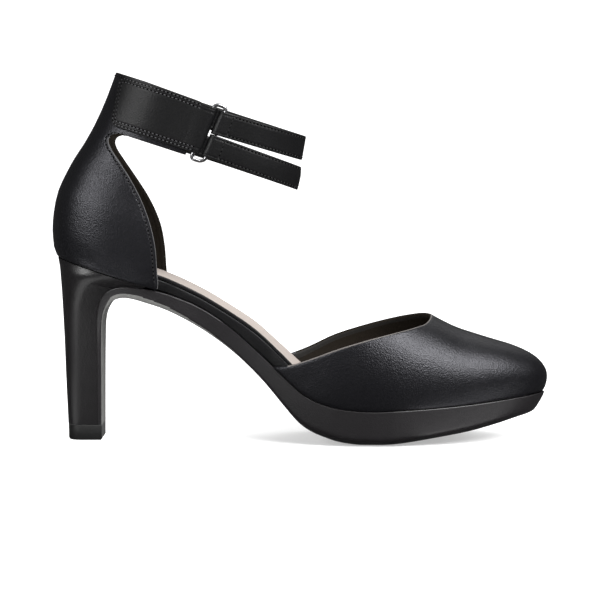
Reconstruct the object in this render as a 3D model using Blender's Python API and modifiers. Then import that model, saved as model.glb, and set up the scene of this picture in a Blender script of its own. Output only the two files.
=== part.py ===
"""Black leather ankle-strap pump, right shoe: toe along +X, inner side along +Y, floor at Z = 0."""

import math

import bmesh
import bpy
import numpy as np
from mathutils import Vector

OBJECT_NAME = "ankle_strap_pump"
MM = 0.001
MERGE = 0.00001
SHARP_ANGLE = math.radians(40)

# Sizes in millimetres
GAP = 0.3
VAMP_WALL = 1.8
QUARTER_WALL = 2.0
INSOLE_THICKNESS = 1.8
STRAP_THICKNESS = 1.4
RING_WIRE = 1.8
RING_HEIGHT = 29.2
RING_BAR_REACH = 3.05

# Middle of the whole shoe's box, measured in the frame of the tables
BOX_MIDDLE_X = 0.272
BOX_MIDDLE_Y = -0.041

# Feather line from heel to toe: x, its height, outer and inner edge, insole top above it
STATIONS = (
    (-115.4, 86.6, 0.0, 0.0, 7.0),
    (-112.5, 85.7, -11.0, 10.6, 7.0),
    (-105.5, 83.5, -19.2, 18.5, 7.0),
    (-95.0, 80.2, -24.1, 23.2, 7.2),
    (-80.0, 75.5, -24.8, 23.9, 7.6),
    (-64.0, 70.5, -22.7, 21.9, 7.6),
    (-48.0, 64.0, -21.3, 20.4, 6.8),
    (-34.0, 55.0, -21.6, 20.0, 7.6),
    (-21.0, 43.8, -23.6, 21.6, 10.0),
    (-9.0, 32.6, -27.4, 24.8, 10.2),
    (3.0, 22.6, -31.8, 28.8, 9.0),
    (16.0, 17.8, -35.6, 33.2, 7.2),
    (32.0, 16.2, -37.4, 36.6, 6.4),
    (48.0, 16.7, -36.6, 37.2, 6.2),
    (64.0, 17.5, -33.2, 34.4, 6.2),
    (80.0, 18.6, -28.0, 29.6, 6.2),
    (94.0, 19.9, -21.6, 24.0, 6.0),
    (105.0, 21.0, -14.6, 17.6, 6.0),
    (112.5, 21.7, -7.2, 11.0, 6.0),
    (116.4, 22.0, 2.0, 2.0, 6.0),
)
STATION_STEPS = 24

# Footbed: x and inset from the feather line, which is less where no upper covers its edge
BED_INSETS = ((-115.4, 2.8), (-62.5, 2.8), (-56.0, 1.5), (-22.0, 1.5), (-15.0, 2.8), (116.4, 2.8))
INSOLE_INSET = 0.1
BED_STEPS = 3

# Sole from toe to the foot of the heel: upper x, its drop below the feather line, lower x and height,
# outer and inner edge, inset and rise of the rounded lower edge
SOLE_ROWS = (
    (116.9, 0.0, 112.0, 13.2, 2.0, 2.0, 3.0, 3.0),
    (113.1, 0.0, 108.8, 12.2, -7.3, 11.1, 4.0, 3.5),
    (105.4, 0.0, 101.8, 10.6, -14.6, 17.6, 6.0, 4.0),
    (94.2, 0.0, 91.7, 8.0, -21.5, 23.9, 8.0, 4.0),
    (80.0, 0.0, 78.8, 5.2, -27.6, 29.2, 9.0, 4.0),
    (64.0, 0.0, 63.6, 2.9, -32.8, 34.0, 9.0, 4.0),
    (48.0, 0.0, 48.0, 0.7, -36.2, 36.8, 9.0, 4.0),
    (38.0, 0.0, 38.5, 0.0, -36.9, 36.8, 9.0, 4.0),
    (27.0, 0.0, 28.0, 0.0, -36.5, 35.4, 9.0, 4.0),
    (16.0, 0.0, 18.6, 1.2, -35.0, 32.6, 8.0, 4.0),
    (9.0, 0.0, 11.6, 3.3, -33.0, 30.2, 7.0, 4.0),
    (3.0, 0.0, 5.0, 6.0, -31.0, 28.0, 6.0, 4.0),
    (-3.0, 0.0, -1.0, 10.2, -28.6, 26.0, 5.0, 3.5),
    (-9.0, 0.0, -7.2, 17.0, -26.2, 23.6, 4.5, 3.0),
    (-21.0, 0.0, -17.6, 29.2, -22.4, 20.4, 4.0, 3.0),
    (-34.0, 0.0, -30.2, 41.4, -20.4, 18.8, 4.0, 3.0),
    (-48.0, 0.0, -44.6, 52.2, -20.1, 19.2, 4.0, 3.0),
    (-62.0, 0.0, -60.2, 61.0, -21.2, 20.4, 4.0, 3.0),
    (-74.0, 1.3, -72.6, 65.6, -21.4, 20.6, 3.5, 2.5),
    (-83.6, 3.6, -81.6, 67.8, -20.6, 20.0, 2.5, 2.0),
    (-89.6, 7.2, -87.4, 66.6, -19.0, 18.6, 1.6, 1.6),
    (-93.5, 12.7, -91.3, 62.4, -17.0, 16.8, 1.0, 1.0),
    (-95.3, 20.3, -93.2, 56.4, -14.9, 14.9, 0.9, 0.9),
    (-95.6, 34.4, -93.5, 45.0, -12.7, 12.7, 0.9, 0.9),
    (-95.4, 52.3, -93.6, 28.0, -11.7, 11.7, 0.9, 0.9),
    (-95.3, 73.0, -93.7, 7.3, -11.3, 11.3, 0.9, 0.9),
)
SOLE_STEPS = 2
SOLE_EDGE_POINTS = 4
SOLE_EDGE_SHARE = 0.45
SOLE_SIDE_POWER = 1.3

# Heel sections from the lift up to the seat: back x and height, breast x and height, half width,
# half width at the breast, share of the depth that is rounded, squareness of the rounding
HEEL_ROWS = (
    (-110.4, 7.3, -95.6, 7.3, 11.4, 11.3, 0.5, 2.8),
    (-111.3, 28.0, -95.75, 28.0, 12.0, 11.7, 0.5, 2.8),
    (-111.9, 46.0, -95.95, 46.0, 13.0, 12.7, 0.52, 2.7),
    (-112.5, 60.0, -95.65, 60.2, 15.3, 14.9, 0.55, 2.6),
    (-113.0, 69.0, -93.9, 67.3, 17.8, 17.0, 0.58, 2.4),
    (-113.5, 76.0, -90.0, 71.7, 20.4, 19.0, 0.6, 2.3),
    (-114.0, 81.5, -84.0, 73.5, 22.8, 20.6, 0.64, 2.2),
    (-114.9, 86.44, -72.4, 73.07, 24.3, 22.4, 0.66, 2.05),
)
# Sections of the lift under the heel, in the same columns
LIFT_ROWS = (
    (-109.8, 0.0, -94.2, 0.0, 10.8, 10.7, 0.5, 2.8),
    (-110.2, 0.7, -93.8, 0.7, 11.2, 11.1, 0.5, 2.8),
    (-110.3, 7.0, -93.8, 7.0, 11.3, 11.2, 0.5, 2.8),
)
HEEL_STEPS = 3
HEEL_SIDE_POINTS = 9

# Ridge of the vamp, and of the instep it would follow behind the throat: x and height
RIDGE = ((-14.0, 108.0), (0.0, 98.5), (20.0, 85.0), (40.0, 71.6), (56.0, 62.2), (62.8, 58.7), (68.0, 55.9),
         (74.3, 52.9), (83.0, 49.9), (91.4, 47.3), (100.0, 44.8), (106.0, 42.8), (117.0, 39.4))
# Top edge of the vamp: x, outer height, inner height
TOPLINE = (
    (-12.0, 35.3, 35.3),
    (-3.0, 37.2, 37.9),
    (4.0, 39.7, 40.4),
    (16.0, 44.3, 45.8),
    (30.0, 48.7, 50.4),
    (44.0, 52.2, 54.5),
    (54.0, 54.5, 57.2),
    (60.0, 56.4, 58.6),
    (62.8, 58.7, 58.7),
)
# Squareness of the vamp's arch: x and power
VAMP_POWERS = ((-14.0, 2.7), (36.0, 2.5), (80.0, 2.7), (104.0, 3.2), (116.4, 3.8))
VAMP_BULGE = 2.0
RIDGE_BEND_START = 66.0
RIDGE_END = 97.0
VAMP_LEVELS = 13
VAMP_COLUMNS = 19

# Frame of the quarter and straps: along the heel seat (u), across (y) and square to the seat (n)
SEAT_BACK_X = -115.0
SEAT_BACK_Z = 85.5
SEAT_PITCH = math.radians(18.0)

# One side of the plan of quarter and ankle loop, back to front: share of length, share of half width
LOOP_HALF = ((0.0, 0.0), (0.03, 0.40), (0.10, 0.71), (0.22, 0.92), (0.36, 0.99), (0.50, 1.0), (0.66, 0.91),
             (0.80, 0.70), (0.91, 0.43), (0.975, 0.18), (1.0, 0.0))
LOOP_STEPS = 12
LOOP_SLOPE_SHARE = 0.004
LOOP_LENGTH = 98.0
LOOP_HALF_WIDTH = 25.0

# Quarter sections by height over the seat: n, back u, loop length, half width,
# front edge u outside and inside
QUARTER_ROWS = (
    (5.0, -3.7, 100.0, 25.6, 49.6, 51.2),
    (12.0, -6.6, 102.0, 26.3, 46.8, 48.3),
    (20.0, -8.6, 104.0, 26.4, 43.6, 45.0),
    (31.0, -9.7, 105.0, 26.0, 37.2, 38.7),
    (40.0, -8.6, 104.0, 24.8, 29.9, 30.6),
    (48.0, -7.0, 103.0, 24.2, 21.5, 21.0),
    (54.0, -5.3, 102.0, 24.2, 14.0, 13.2),
    (57.6, -4.4, 101.5, 24.4, 9.4, 8.8),
    (60.4, -3.8, 101.2, 24.6, 6.9, 6.8),
    (62.8, -3.3, 101.1, 24.8, 6.8, 6.8),
    (64.4, -3.0, 101.0, 25.0, 8.2, 8.2),
    (65.6, -2.8, 101.0, 25.0, 10.7, 10.7),
    (66.2, -2.7, 101.0, 25.0, 14.4, 14.4),
    (79.5, -1.2, 97.2, 25.0, 14.4, 14.4),
    (92.3, -0.6, 94.8, 25.0, 14.4, 14.4),
)
# Front end of the quarter's foot, outside and inside
QUARTER_FRONT_X = {-1: -66.1, 1: -64.7}
QUARTER_STEPS = 2
QUARTER_COLUMNS = 10
CUFF_LOW = 66.2
CUFF_HIGH = 92.3
CUFF_END_HIGH = 91.4
CUFF_LEVELS = 4
CUFF_OUTER_END = 43.2
CUFF_INNER_END = 40.0
CUFF_END_COLUMNS = 6

# Closure: ring, folded tab and two straps
RING_U = 51.1
RING_N = 79.0
RING_OUT = 0.2
CLOSURE_LEAN = 0.15
RING_CORNER = 2.2
RING_CORNER_POINTS = 5
FOLD_EASE = 0.1
FOLD_RADIUS = RING_WIRE / 2 + GAP + FOLD_EASE + STRAP_THICKNESS / 2
FOLD_POINTS = 8
TAB_LOW = 68.4
TAB_HIGH = 91.8
TAB_RING_HIGH = 90.9
TAB_NARROWING = (-18.0, -6.0)
TAB_END_U = 5.4
TAB_END_LEAN = -1.6
TAB_CORNER = 4.0
TAB_END_POINTS = 9
# Run of the tab's outer layer towards the ring: distance from the ring's middle, height over the cuff
TAB_OUTER = ((-24.0, 1.0), (-16.0, 1.05), (-11.0, 1.3), (-8.0, 1.7), (-5.4, 2.05))
# Inner layer behind the ring, ending at the cuff
TAB_INNER = ((-4.6, -1.75), (-5.8, -1.7))
# Strap: tail behind the run, run to the front, and lap inside the inner cuff
STRAP_TAIL = ((12.0, -1.8), (6.8, -1.8))
STRAP_RUN = ((5.6, 2.0), (8.6, 1.4), (12.0, 0.6), (16.0, -0.15), (20.0, -0.6), (26.0, -0.7))
STRAP_LAP = 14.0
STRAP_LAP_SHARES = (0.35, 0.65, 0.9)
STRAP_END_SHARES = (0.0, 0.5, 1.0)
STRAP_LAP_OUT = -QUARTER_WALL - GAP - STRAP_THICKNESS / 2
STRAP_POINTS = 40
# Height bounds at the ring and at the front turn
STRAPS = {"strap_lower": ((68.2, 78.8), (66.2, 77.0)), "strap_upper": ((79.15, 90.3), (80.3, 91.5))}

# Points that the outer faces of the shells look to, and distances of such points from the ankle wall
VAMP_OUTWARD = (87.0, 2.0, 90.0)
QUARTER_OUTWARD = (-160.0, 0.0, 110.0)
TAB_OUTWARD = 60.0
STRAP_OUTWARD = 40.0
STRAP_OUTWARD_SPOT = 30.0

# Colour, roughness, metallic
MATERIALS = {
    "upper_leather": ((0.012, 0.012, 0.013), 0.45, 0.0),
    "sole_rubber": ((0.012, 0.012, 0.012), 0.60, 0.0),
    "heel_cover": ((0.014, 0.014, 0.015), 0.40, 0.0),
    "lift_rubber": ((0.010, 0.010, 0.010), 0.65, 0.0),
    "insole_leather": ((0.78, 0.66, 0.56), 0.55, 0.0),
    "ring_metal": ((0.70, 0.70, 0.72), 0.22, 1.0),
}


def clear_scene():
    for item in list(bpy.data.objects):
        bpy.data.objects.remove(item, do_unlink=True)


def smooth(rows, steps, before=None, after=None):
    """Rows on a curve through the table; the rows beyond its ends are straight on unless given."""
    table = np.array(rows, float)
    before = 2 * table[0] - table[1] if before is None else np.array(before, float)
    after = 2 * table[-1] - table[-2] if after is None else np.array(after, float)
    table = np.vstack([before, table, after])
    found = []
    for a, b, c, d in zip(table, table[1:], table[2:], table[3:]):
        for t in np.arange(steps) / steps:
            square = (2 * a - 5 * b + 4 * c - d) * t**2
            cube = (3 * b - a - 3 * c + d) * t**3
            found.append(0.5 * (2 * b + (c - a) * t + square + cube))
    found.append(table[-2])
    return np.array(found)


def graph(rows, steps):
    """Rows on a curve through a table whose first column rises; the other columns follow it."""
    table = np.array(rows, float)
    slopes = np.gradient(table, table[:, 0], axis=0)
    found = []
    for a, b, slope_a, slope_b in zip(table, table[1:], slopes, slopes[1:]):
        span = b[0] - a[0]
        for t in np.arange(steps) / steps:
            ease = t * t * (3 - 2 * t)
            bend = t * (1 - t) * ((1 - t) * slope_a - t * slope_b)
            found.append(a + (b - a) * ease + span * bend)
    found.append(table[-1])
    return np.array(found)


def sides_swapped(row):
    x, seam, lateral, medial, bed = row
    return (x, seam, medial, lateral, bed)


STATION = smooth(STATIONS, STATION_STEPS, sides_swapped(STATIONS[1]), sides_swapped(STATIONS[-2]))
STATION_X, STATION_SEAM, STATION_OUTER, STATION_INNER, STATION_BED = STATION.T
RIDGE_CURVE = graph(RIDGE, STATION_STEPS)
LOOP = smooth(LOOP_HALF, LOOP_STEPS, (0.03, -0.40), (0.975, -0.18))
LOOP_SPOT = np.insert(np.cumsum(np.hypot(*np.diff(LOOP * (LOOP_LENGTH, LOOP_HALF_WIDTH), axis=0).T)), 0, 0.0)
HALF_LOOP = LOOP_SPOT[-1]
QUARTER = graph(QUARTER_ROWS, QUARTER_STEPS)


def seam(x):
    return np.interp(x, STATION_X, STATION_SEAM)


def outline(more, every):
    """Outer and inner edge points at the stations, drawn in by the footbed's inset and some more."""
    picked = STATION[::every]
    outer = picked[:, [0, 2]]
    inner = picked[:, [0, 3]]
    loop = np.vstack([outer, inner[-2:0:-1]])
    run = np.roll(loop, -1, axis=0) - np.roll(loop, 1, axis=0)
    run /= np.linalg.norm(run, axis=1, keepdims=True)
    inset = np.interp(loop[:, 0], *np.array(BED_INSETS).T) + more
    loop = loop + np.column_stack([-run[:, 1] * inset, run[:, 0] * inset])
    count = len(outer)
    return loop[:count], np.vstack([loop[:1], loop[:count - 1:-1], loop[count - 1:count]])


def on_wall(n, spot, side, out=0.0):
    """World point at a distance along the ankle loop from its back; side is -1 outside, 1 inside."""
    back, length, half = (np.interp(n, QUARTER[:, 0], QUARTER[:, k]) for k in (1, 2, 3))
    step = HALF_LOOP * LOOP_SLOPE_SHARE

    def plan(place):
        turned = side
        if place > HALF_LOOP:
            place, turned = 2 * HALF_LOOP - place, -side
        elif place < 0:
            place, turned = -place, -side
        share_u, share_y = (np.interp(place, LOOP_SPOT, LOOP[:, k]) for k in (0, 1))
        return np.array([back + length * share_u, turned * half * share_y])

    here = plan(spot)
    run = plan(spot + step) - plan(spot - step)
    run /= np.hypot(*run)
    here = here + out * side * np.array([-run[1], run[0]])
    return from_seat(here[0], here[1], n)


def from_seat(u, y, n):
    x = SEAT_BACK_X + u * math.cos(SEAT_PITCH) + n * math.sin(SEAT_PITCH)
    z = SEAT_BACK_Z - u * math.sin(SEAT_PITCH) + n * math.cos(SEAT_PITCH)
    return (x, y, z)


def spot_at(u, n):
    """Distance along the loop at which the wall reaches u."""
    back, length = (np.interp(n, QUARTER[:, 0], QUARTER[:, k]) for k in (1, 2))
    return float(np.interp((u - back) / length, LOOP[:, 0], LOOP_SPOT))


def make_material(name):
    colour, roughness, metallic = MATERIALS[name]
    material = bpy.data.materials.new(name)
    material.use_nodes = True
    shader = material.node_tree.nodes["Principled BSDF"]
    shader.inputs["Base Color"].default_value = (*colour, 1.0)
    shader.inputs["Roughness"].default_value = roughness
    shader.inputs["Metallic"].default_value = metallic
    material.diffuse_color = (*colour, 1.0)
    return material


def placed(point):
    x, y, z = point
    return ((x - BOX_MIDDLE_X) * MM, (y - BOX_MIDDLE_Y) * MM, z * MM)


def add_object(name, bm, material):
    """Welds and turns a mesh, and adds it to the shoe's collection under its root."""
    bmesh.ops.remove_doubles(bm, verts=bm.verts, dist=MERGE)
    bmesh.ops.recalc_face_normals(bm, faces=bm.faces)
    mesh = bpy.data.meshes.new(name)
    bm.to_mesh(mesh)
    bm.free()
    mesh.shade_smooth()
    mesh.set_sharp_from_angle(angle=SHARP_ANGLE)
    made = bpy.data.objects.new(name, mesh)
    made.data.materials.append(material)
    bpy.data.collections[OBJECT_NAME].objects.link(made)
    made.parent = bpy.data.objects["shoe_root"]
    return made


def add_quads(bm, grid):
    """Faces over rows of points."""
    rows = [[bm.verts.new(placed(p)) for p in row] for row in grid]
    for row, after in zip(rows, rows[1:]):
        for i in range(len(row) - 1):
            corners = (row[i], row[i + 1], after[i + 1], after[i])
            bm.faces.new(corners)


def add_shell(name, grids, thickness, offset, outward, material):
    """Open surface of welded grids, thickened; outward is a point on the side its faces look to."""
    bm = bmesh.new()
    for grid in grids:
        add_quads(bm, grid)
    made = add_object(name, bm, material)
    face = min(made.data.polygons, key=lambda f: (f.center - outward).length)
    if face.normal.dot(outward - face.center) < 0:
        made.data.flip_normals()
    wall = made.modifiers.new("wall", "SOLIDIFY")
    wall.thickness = thickness * MM
    wall.offset = offset
    wall.use_even_offset = True
    return made


def add_loft(name, sections, first_cap, last_cap, material):
    """Solid through closed sections; a section drawn together to a line needs no cap."""
    bm = bmesh.new()
    rings = [[bm.verts.new(placed(p)) for p in section] for section in sections]
    for ring, after in zip(rings, rings[1:]):
        for i in range(len(ring)):
            j = (i + 1) % len(ring)
            bm.faces.new((ring[i], ring[j], after[j], after[i]))
    for ring, capped in ((rings[0], first_cap), (rings[-1], last_cap)):
        if capped:
            add_ladder_cap(bm, ring)
    return add_object(name, bm, material)


def add_ladder_cap(bm, ring):
    """Closes a ring whose two halves mirror each other with strips from side to side."""
    last = len(ring) - 1
    for i in range(len(ring) // 2):
        strip = [ring[i], ring[i + 1], ring[last - i - 1], ring[last - i]]
        corners = list(dict.fromkeys(strip))
        if len(corners) > 2:
            bm.faces.new(corners)


def add_bed(name, more, low, high, material):
    """Layer between two heights over the feather line, given as functions of the station's bed height."""
    every = STATION_STEPS // BED_STEPS
    outer, inner = outline(more, every)
    sections = []
    for a, b, bed in zip(outer, inner, STATION_BED[::every]):
        floor_a, floor_b = seam(a[0]), seam(b[0])
        sections.append((
            (*a, floor_a + low(bed)),
            (*a, floor_a + high(bed)),
            (*b, floor_b + high(bed)),
            (*b, floor_b + low(bed)),
        ))
    return add_loft(name, sections, False, False, material)


def sole_section(row):
    """Loop down the outer side, under the sole and up the inner side; the lower edges are rounded."""
    x, drop, low_x, low_z, outer, inner, inset, rise = row
    top = np.array([x, seam(x) - max(drop, 0.0)])
    low = np.array([low_x, max(low_z, 0.0)])
    inset = min(inset, SOLE_EDGE_SHARE * (inner - outer) / 2)
    edge = min(rise / np.hypot(*(top - low)), SOLE_EDGE_SHARE)
    side = [(top, 0.0)]
    for turn in np.linspace(0, math.pi / 2, SOLE_EDGE_POINTS):
        share = 1 - edge * (1 - math.sin(turn))
        at = (x + (low_x - x) * share**SOLE_SIDE_POWER, top[1] + (low[1] - top[1]) * share)
        side.append((at, inset * (1 - math.cos(turn))))
    left = [(at[0], outer + drawn, at[1]) for at, drawn in side]
    right = [(at[0], inner - drawn, at[1]) for at, drawn in reversed(side)]
    return left + right


def add_outsole(material):
    """Platform, waist and breast flap in one, from the toe to the foot of the heel."""
    toe = np.array(SOLE_ROWS[1], float)
    toe[[4, 5]] = toe[[5, 4]]
    sections = [sole_section(row) for row in smooth(SOLE_ROWS, SOLE_STEPS, before=toe)]
    return add_loft("outsole", sections, False, True, material)


def heel_ring(row):
    """Points round a section: flat at the breast, straight sides, rounded back."""
    back_x, back_z, breast_x, breast_z, half, breast_half, rounded, power = row
    side = [(1.0, breast_half)]
    for turn in np.linspace(0, math.pi / 2, HEEL_SIDE_POINTS):
        width = half * max(math.cos(turn), 0.0) ** (2 / power)
        side.append((rounded * (1 - math.sin(turn) ** (2 / power)), width))
    points = [(back_x + (breast_x - back_x) * s, y, back_z + (breast_z - back_z) * s) for s, y in side]
    outer = [(x, -y, z) for x, y, z in points]
    inner = points[-2::-1]
    return outer + inner


def add_heel(material):
    sections = [heel_ring(row) for row in smooth(HEEL_ROWS, HEEL_STEPS)]
    sections[-1] = [(x, y, seam(x)) for x, y, z in sections[-1]]
    return add_loft("heel", sections, True, True, material)


def add_heel_lift(material):
    return add_loft("heel_lift", [heel_ring(row) for row in LIFT_ROWS], True, True, material)


def vamp_point(place, level, side):
    """Point of the vamp's outer face: place along the stations, level 0 at its foot to 1 at the ridge."""
    spots = np.arange(len(STATION))
    x, outer, inner = (np.interp(place, spots, STATION[:, k]) for k in (0, 2, 3))
    edge = np.array([x, outer if side < 0 else inner])
    bend = max(x - RIDGE_BEND_START, 0.0)
    toe = STATION_X[-1]
    ridge_x = x - (toe - RIDGE_END) * (bend / (toe - RIDGE_BEND_START)) ** 2
    ridge_y = np.interp(ridge_x, STATION_X, (STATION_OUTER + STATION_INNER) / 2)
    ridge = np.array([ridge_x, ridge_y])
    power = np.interp(x, *np.array(VAMP_POWERS).T)
    turn = level * math.pi / 2
    reach = max(math.cos(turn), 0.0) ** (2 / power)
    rise = math.sin(turn) ** (2 / power)
    away = edge - ridge
    away /= max(np.hypot(*away), 1e-6)
    plan = ridge + (edge - ridge) * reach + away * VAMP_BULGE * 4 * rise * (1 - rise)
    foot = seam(plan[0]) + GAP
    top = np.interp(plan[0], *RIDGE_CURVE.T)
    return (*plan, foot + (top - foot) * rise)


def topline_places(side):
    """Level and station place along the vamp's top edge."""
    curve = graph(TOPLINE, STATION_STEPS)
    x, z = curve[:, 0], curve[:, 1 if side < 0 else 2]
    rise = np.clip((z - seam(x) - GAP) / (np.interp(x, *RIDGE_CURVE.T) - seam(x) - GAP), 0.0, 1.0)
    power = np.interp(x, *np.array(VAMP_POWERS).T)
    level = np.arcsin(rise ** (power / 2)) / (math.pi / 2)
    place = np.interp(x, STATION_X, np.arange(len(STATION)))
    level[0], level[-1] = 0.0, 1.0
    return np.maximum.accumulate(level), place


def add_vamp(material):
    """Toe cover as two halves that share the ridge and the middle of the toe."""
    grids = []
    for side in (-1, 1):
        levels, places = topline_places(side)
        grid = []
        for level in np.linspace(0, 1, VAMP_LEVELS):
            start = np.interp(level, levels, places)
            run = np.linspace(start, len(STATION) - 1, VAMP_COLUMNS)
            grid.append([vamp_point(place, level, side) for place in run])
        grids.append(grid)
    return add_shell("vamp", grids, VAMP_WALL, -1, Vector(placed(VAMP_OUTWARD)), material)


def quarter_foot_row(side):
    """Bottom row of the quarter, along the feather line from back to front edge."""
    column = 2 if side < 0 else 3
    kept = STATION[STATION_X <= QUARTER_FRONT_X[side]]
    line = kept[:, [0, column, 1]]
    spots = np.insert(np.cumsum(np.hypot(*np.diff(line[:, :2], axis=0).T)), 0, 0.0)
    wanted = np.linspace(0, spots[-1], QUARTER_COLUMNS + 1)
    points = np.column_stack([np.interp(wanted, spots, line[:, k]) for k in range(3)])
    return [(x, y, z + GAP) for x, y, z in points]


def add_quarter(material):
    """Heel cup, neck and ankle cuff in one wall."""
    low_rows = QUARTER[QUARTER[:, 0] <= CUFF_LOW]
    grid = [quarter_foot_row(-1)[:0:-1] + quarter_foot_row(1)]
    for n, back, length, half, outer_edge, inner_edge in low_rows:
        outer_spots = np.linspace(0, spot_at(outer_edge, n), QUARTER_COLUMNS + 1)
        inner_spots = np.linspace(0, spot_at(inner_edge, n), QUARTER_COLUMNS + 1)
        outer = [on_wall(n, s, -1) for s in outer_spots[:0:-1]]
        inner = [on_wall(n, s, 1) for s in inner_spots]
        grid.append(outer + inner)
    reach = outer_spots[-1]
    outer_spots = cuff_spots(reach, CUFF_OUTER_END)
    inner_spots = cuff_spots(reach, CUFF_INNER_END)
    cuff = []
    for level in np.linspace(0, 1, CUFF_LEVELS):
        outer = [on_wall(cuff_height(level, s, reach, outer_spots[-1]), s, -1) for s in outer_spots[:0:-1]]
        inner = [on_wall(cuff_height(level, s, reach, inner_spots[-1]), s, 1) for s in inner_spots]
        cuff.append(outer + inner)
    return add_shell("quarter", [grid, cuff], QUARTER_WALL, -1, Vector(placed(QUARTER_OUTWARD)), material)


def cuff_spots(reach, end_u):
    """Places along the cuff: those over the neck, then those out to its end."""
    over_neck = np.linspace(0, reach, QUARTER_COLUMNS + 1)
    to_end = np.linspace(reach, spot_at(end_u, RING_N), CUFF_END_COLUMNS)
    return np.append(over_neck, to_end[1:])


def cuff_height(level, spot, reach, end):
    """Height over the seat at a level of the cuff, which narrows a little towards its ends."""
    narrowed = max(spot - reach, 0.0) / (end - reach)
    high = CUFF_HIGH + (CUFF_END_HIGH - CUFF_HIGH) * narrowed
    return CUFF_LOW + (high - CUFF_LOW) * level


def fold_round(bar, start, turn_way):
    """Path round a ring bar, from above it to below, or back."""
    found = []
    for turn in np.linspace(0, math.pi, FOLD_POINTS):
        angle = start + turn_way * turn
        found.append((bar + FOLD_RADIUS * math.cos(angle), RING_OUT + FOLD_RADIUS * math.sin(angle)))
    return found


def leaning(n, spot, lean, out):
    """Point of the closure, which leans with the ring where lean is 1 and stands square to the seat at 0."""
    return on_wall(n, spot + lean * CLOSURE_LEAN * (n - RING_N), -1, out)


def ribbon_grid(path, leans, low, high):
    """Rows at the lower and upper edge of a strip along (spot, out) places."""
    bottom = [leaning(n, spot, lean, out) for (spot, out), lean, n in zip(path, leans, low)]
    top = [leaning(n, spot, lean, out) for (spot, out), lean, n in zip(path, leans, high)]
    return [bottom, top]


def add_tab(material):
    """Closing tab: over the cuff, round the ring's rear bar and back to the cuff's end."""
    ring = spot_at(RING_U, RING_N)
    end = spot_at(TAB_END_U, RING_N)
    first = ring + TAB_OUTER[0][0]
    run = [(spot, TAB_OUTER[0][1]) for spot in np.linspace(end, first, TAB_END_POINTS)[:-1]]
    run += [(ring + away, out) for away, out in TAB_OUTER]
    run += [(ring + away, out) for away, out in fold_round(-RING_BAR_REACH, math.pi / 2, -1)]
    run += [(ring + away, out) for away, out in TAB_INNER]
    rounding = [max(TAB_CORNER - (spot - end), 0.0) for spot, out in run]
    drawn = [TAB_CORNER - math.sqrt(TAB_CORNER**2 - r**2) for r in rounding]
    low = [TAB_LOW + d for d in drawn]
    tops = (TAB_HIGH, TAB_RING_HIGH)
    high = [np.interp(spot - ring, TAB_NARROWING, tops) - d for (spot, out), d in zip(run, drawn)]
    leans = [np.interp(spot, (end, ring), (TAB_END_LEAN, 1.0)) for spot, out in run]
    strip = ribbon_grid(run, leans, low, high)
    beside = Vector(placed(on_wall(RING_N, end, -1, TAB_OUTWARD)))
    return add_shell("closure_tab", [strip], STRAP_THICKNESS, 0, beside, material)


def add_strap(name, at_ring, at_front, material):
    """Narrow strap: tail, fold round the ring's front bar, run round the front to the inner cuff."""
    ring = spot_at(RING_U, RING_N)
    inner_end = 2 * HALF_LOOP - spot_at(CUFF_INNER_END, RING_N)
    run = [(ring + away, out) for away, out in STRAP_TAIL]
    run += [(ring + away, out) for away, out in fold_round(RING_BAR_REACH, -math.pi / 2, -1)]
    run += [(ring + away, out) for away, out in STRAP_RUN]
    plain = STRAP_RUN[-1][1]
    run += [(s, plain) for s in np.linspace(run[-1][0], inner_end - STRAP_LAP, STRAP_POINTS)[1:]]
    for share in STRAP_LAP_SHARES:
        ease = share * share * (3 - 2 * share)
        run.append((inner_end - STRAP_LAP * (1 - share), plain + (STRAP_LAP_OUT - plain) * ease))
    run += [(inner_end + share * STRAP_LAP, STRAP_LAP_OUT) for share in STRAP_END_SHARES]
    spots = np.array([spot for spot, out in run])
    front = np.clip((spots - ring) / (HALF_LOOP - ring), 0.0, 1.0)
    low = at_ring[0] + (at_front[0] - at_ring[0]) * front
    high = at_ring[1] + (at_front[1] - at_ring[1]) * front
    strip = ribbon_grid(run, 1 - front, low, high)
    beside = Vector(placed(on_wall(RING_N, ring + STRAP_OUTWARD_SPOT, -1, STRAP_OUTWARD)))
    return add_shell(name, [strip], STRAP_THICKNESS, 0, beside, material)


def add_ring(material):
    """Flattened oval of wire that tab and straps fold round."""
    middle = spot_at(RING_U, RING_N)
    half_height = (RING_HEIGHT - RING_WIRE) / 2
    points = []
    for quarter in range(4):
        toward = 1 if quarter in (0, 3) else -1
        up = 1 if quarter < 2 else -1
        for turn in np.linspace(0, math.pi / 2, RING_CORNER_POINTS) + quarter * math.pi / 2:
            along = toward * (RING_BAR_REACH - RING_CORNER) + RING_CORNER * math.cos(turn)
            n = RING_N + up * (half_height - RING_CORNER) + RING_CORNER * math.sin(turn)
            points.append(placed(leaning(n, middle + along, 1, RING_OUT)))
    curve = bpy.data.curves.new("ring", "CURVE")
    curve.dimensions = "3D"
    curve.bevel_depth = RING_WIRE / 2 * MM
    curve.bevel_resolution = 2
    spline = curve.splines.new("POLY")
    spline.points.add(len(points) - 1)
    for target, point in zip(spline.points, points):
        target.co = (*point, 1.0)
    spline.use_cyclic_u = True
    spline.use_smooth = True
    made = bpy.data.objects.new("ring", curve)
    curve.materials.append(material)
    bpy.data.collections[OBJECT_NAME].objects.link(made)
    made.parent = bpy.data.objects["shoe_root"]
    return made


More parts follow.
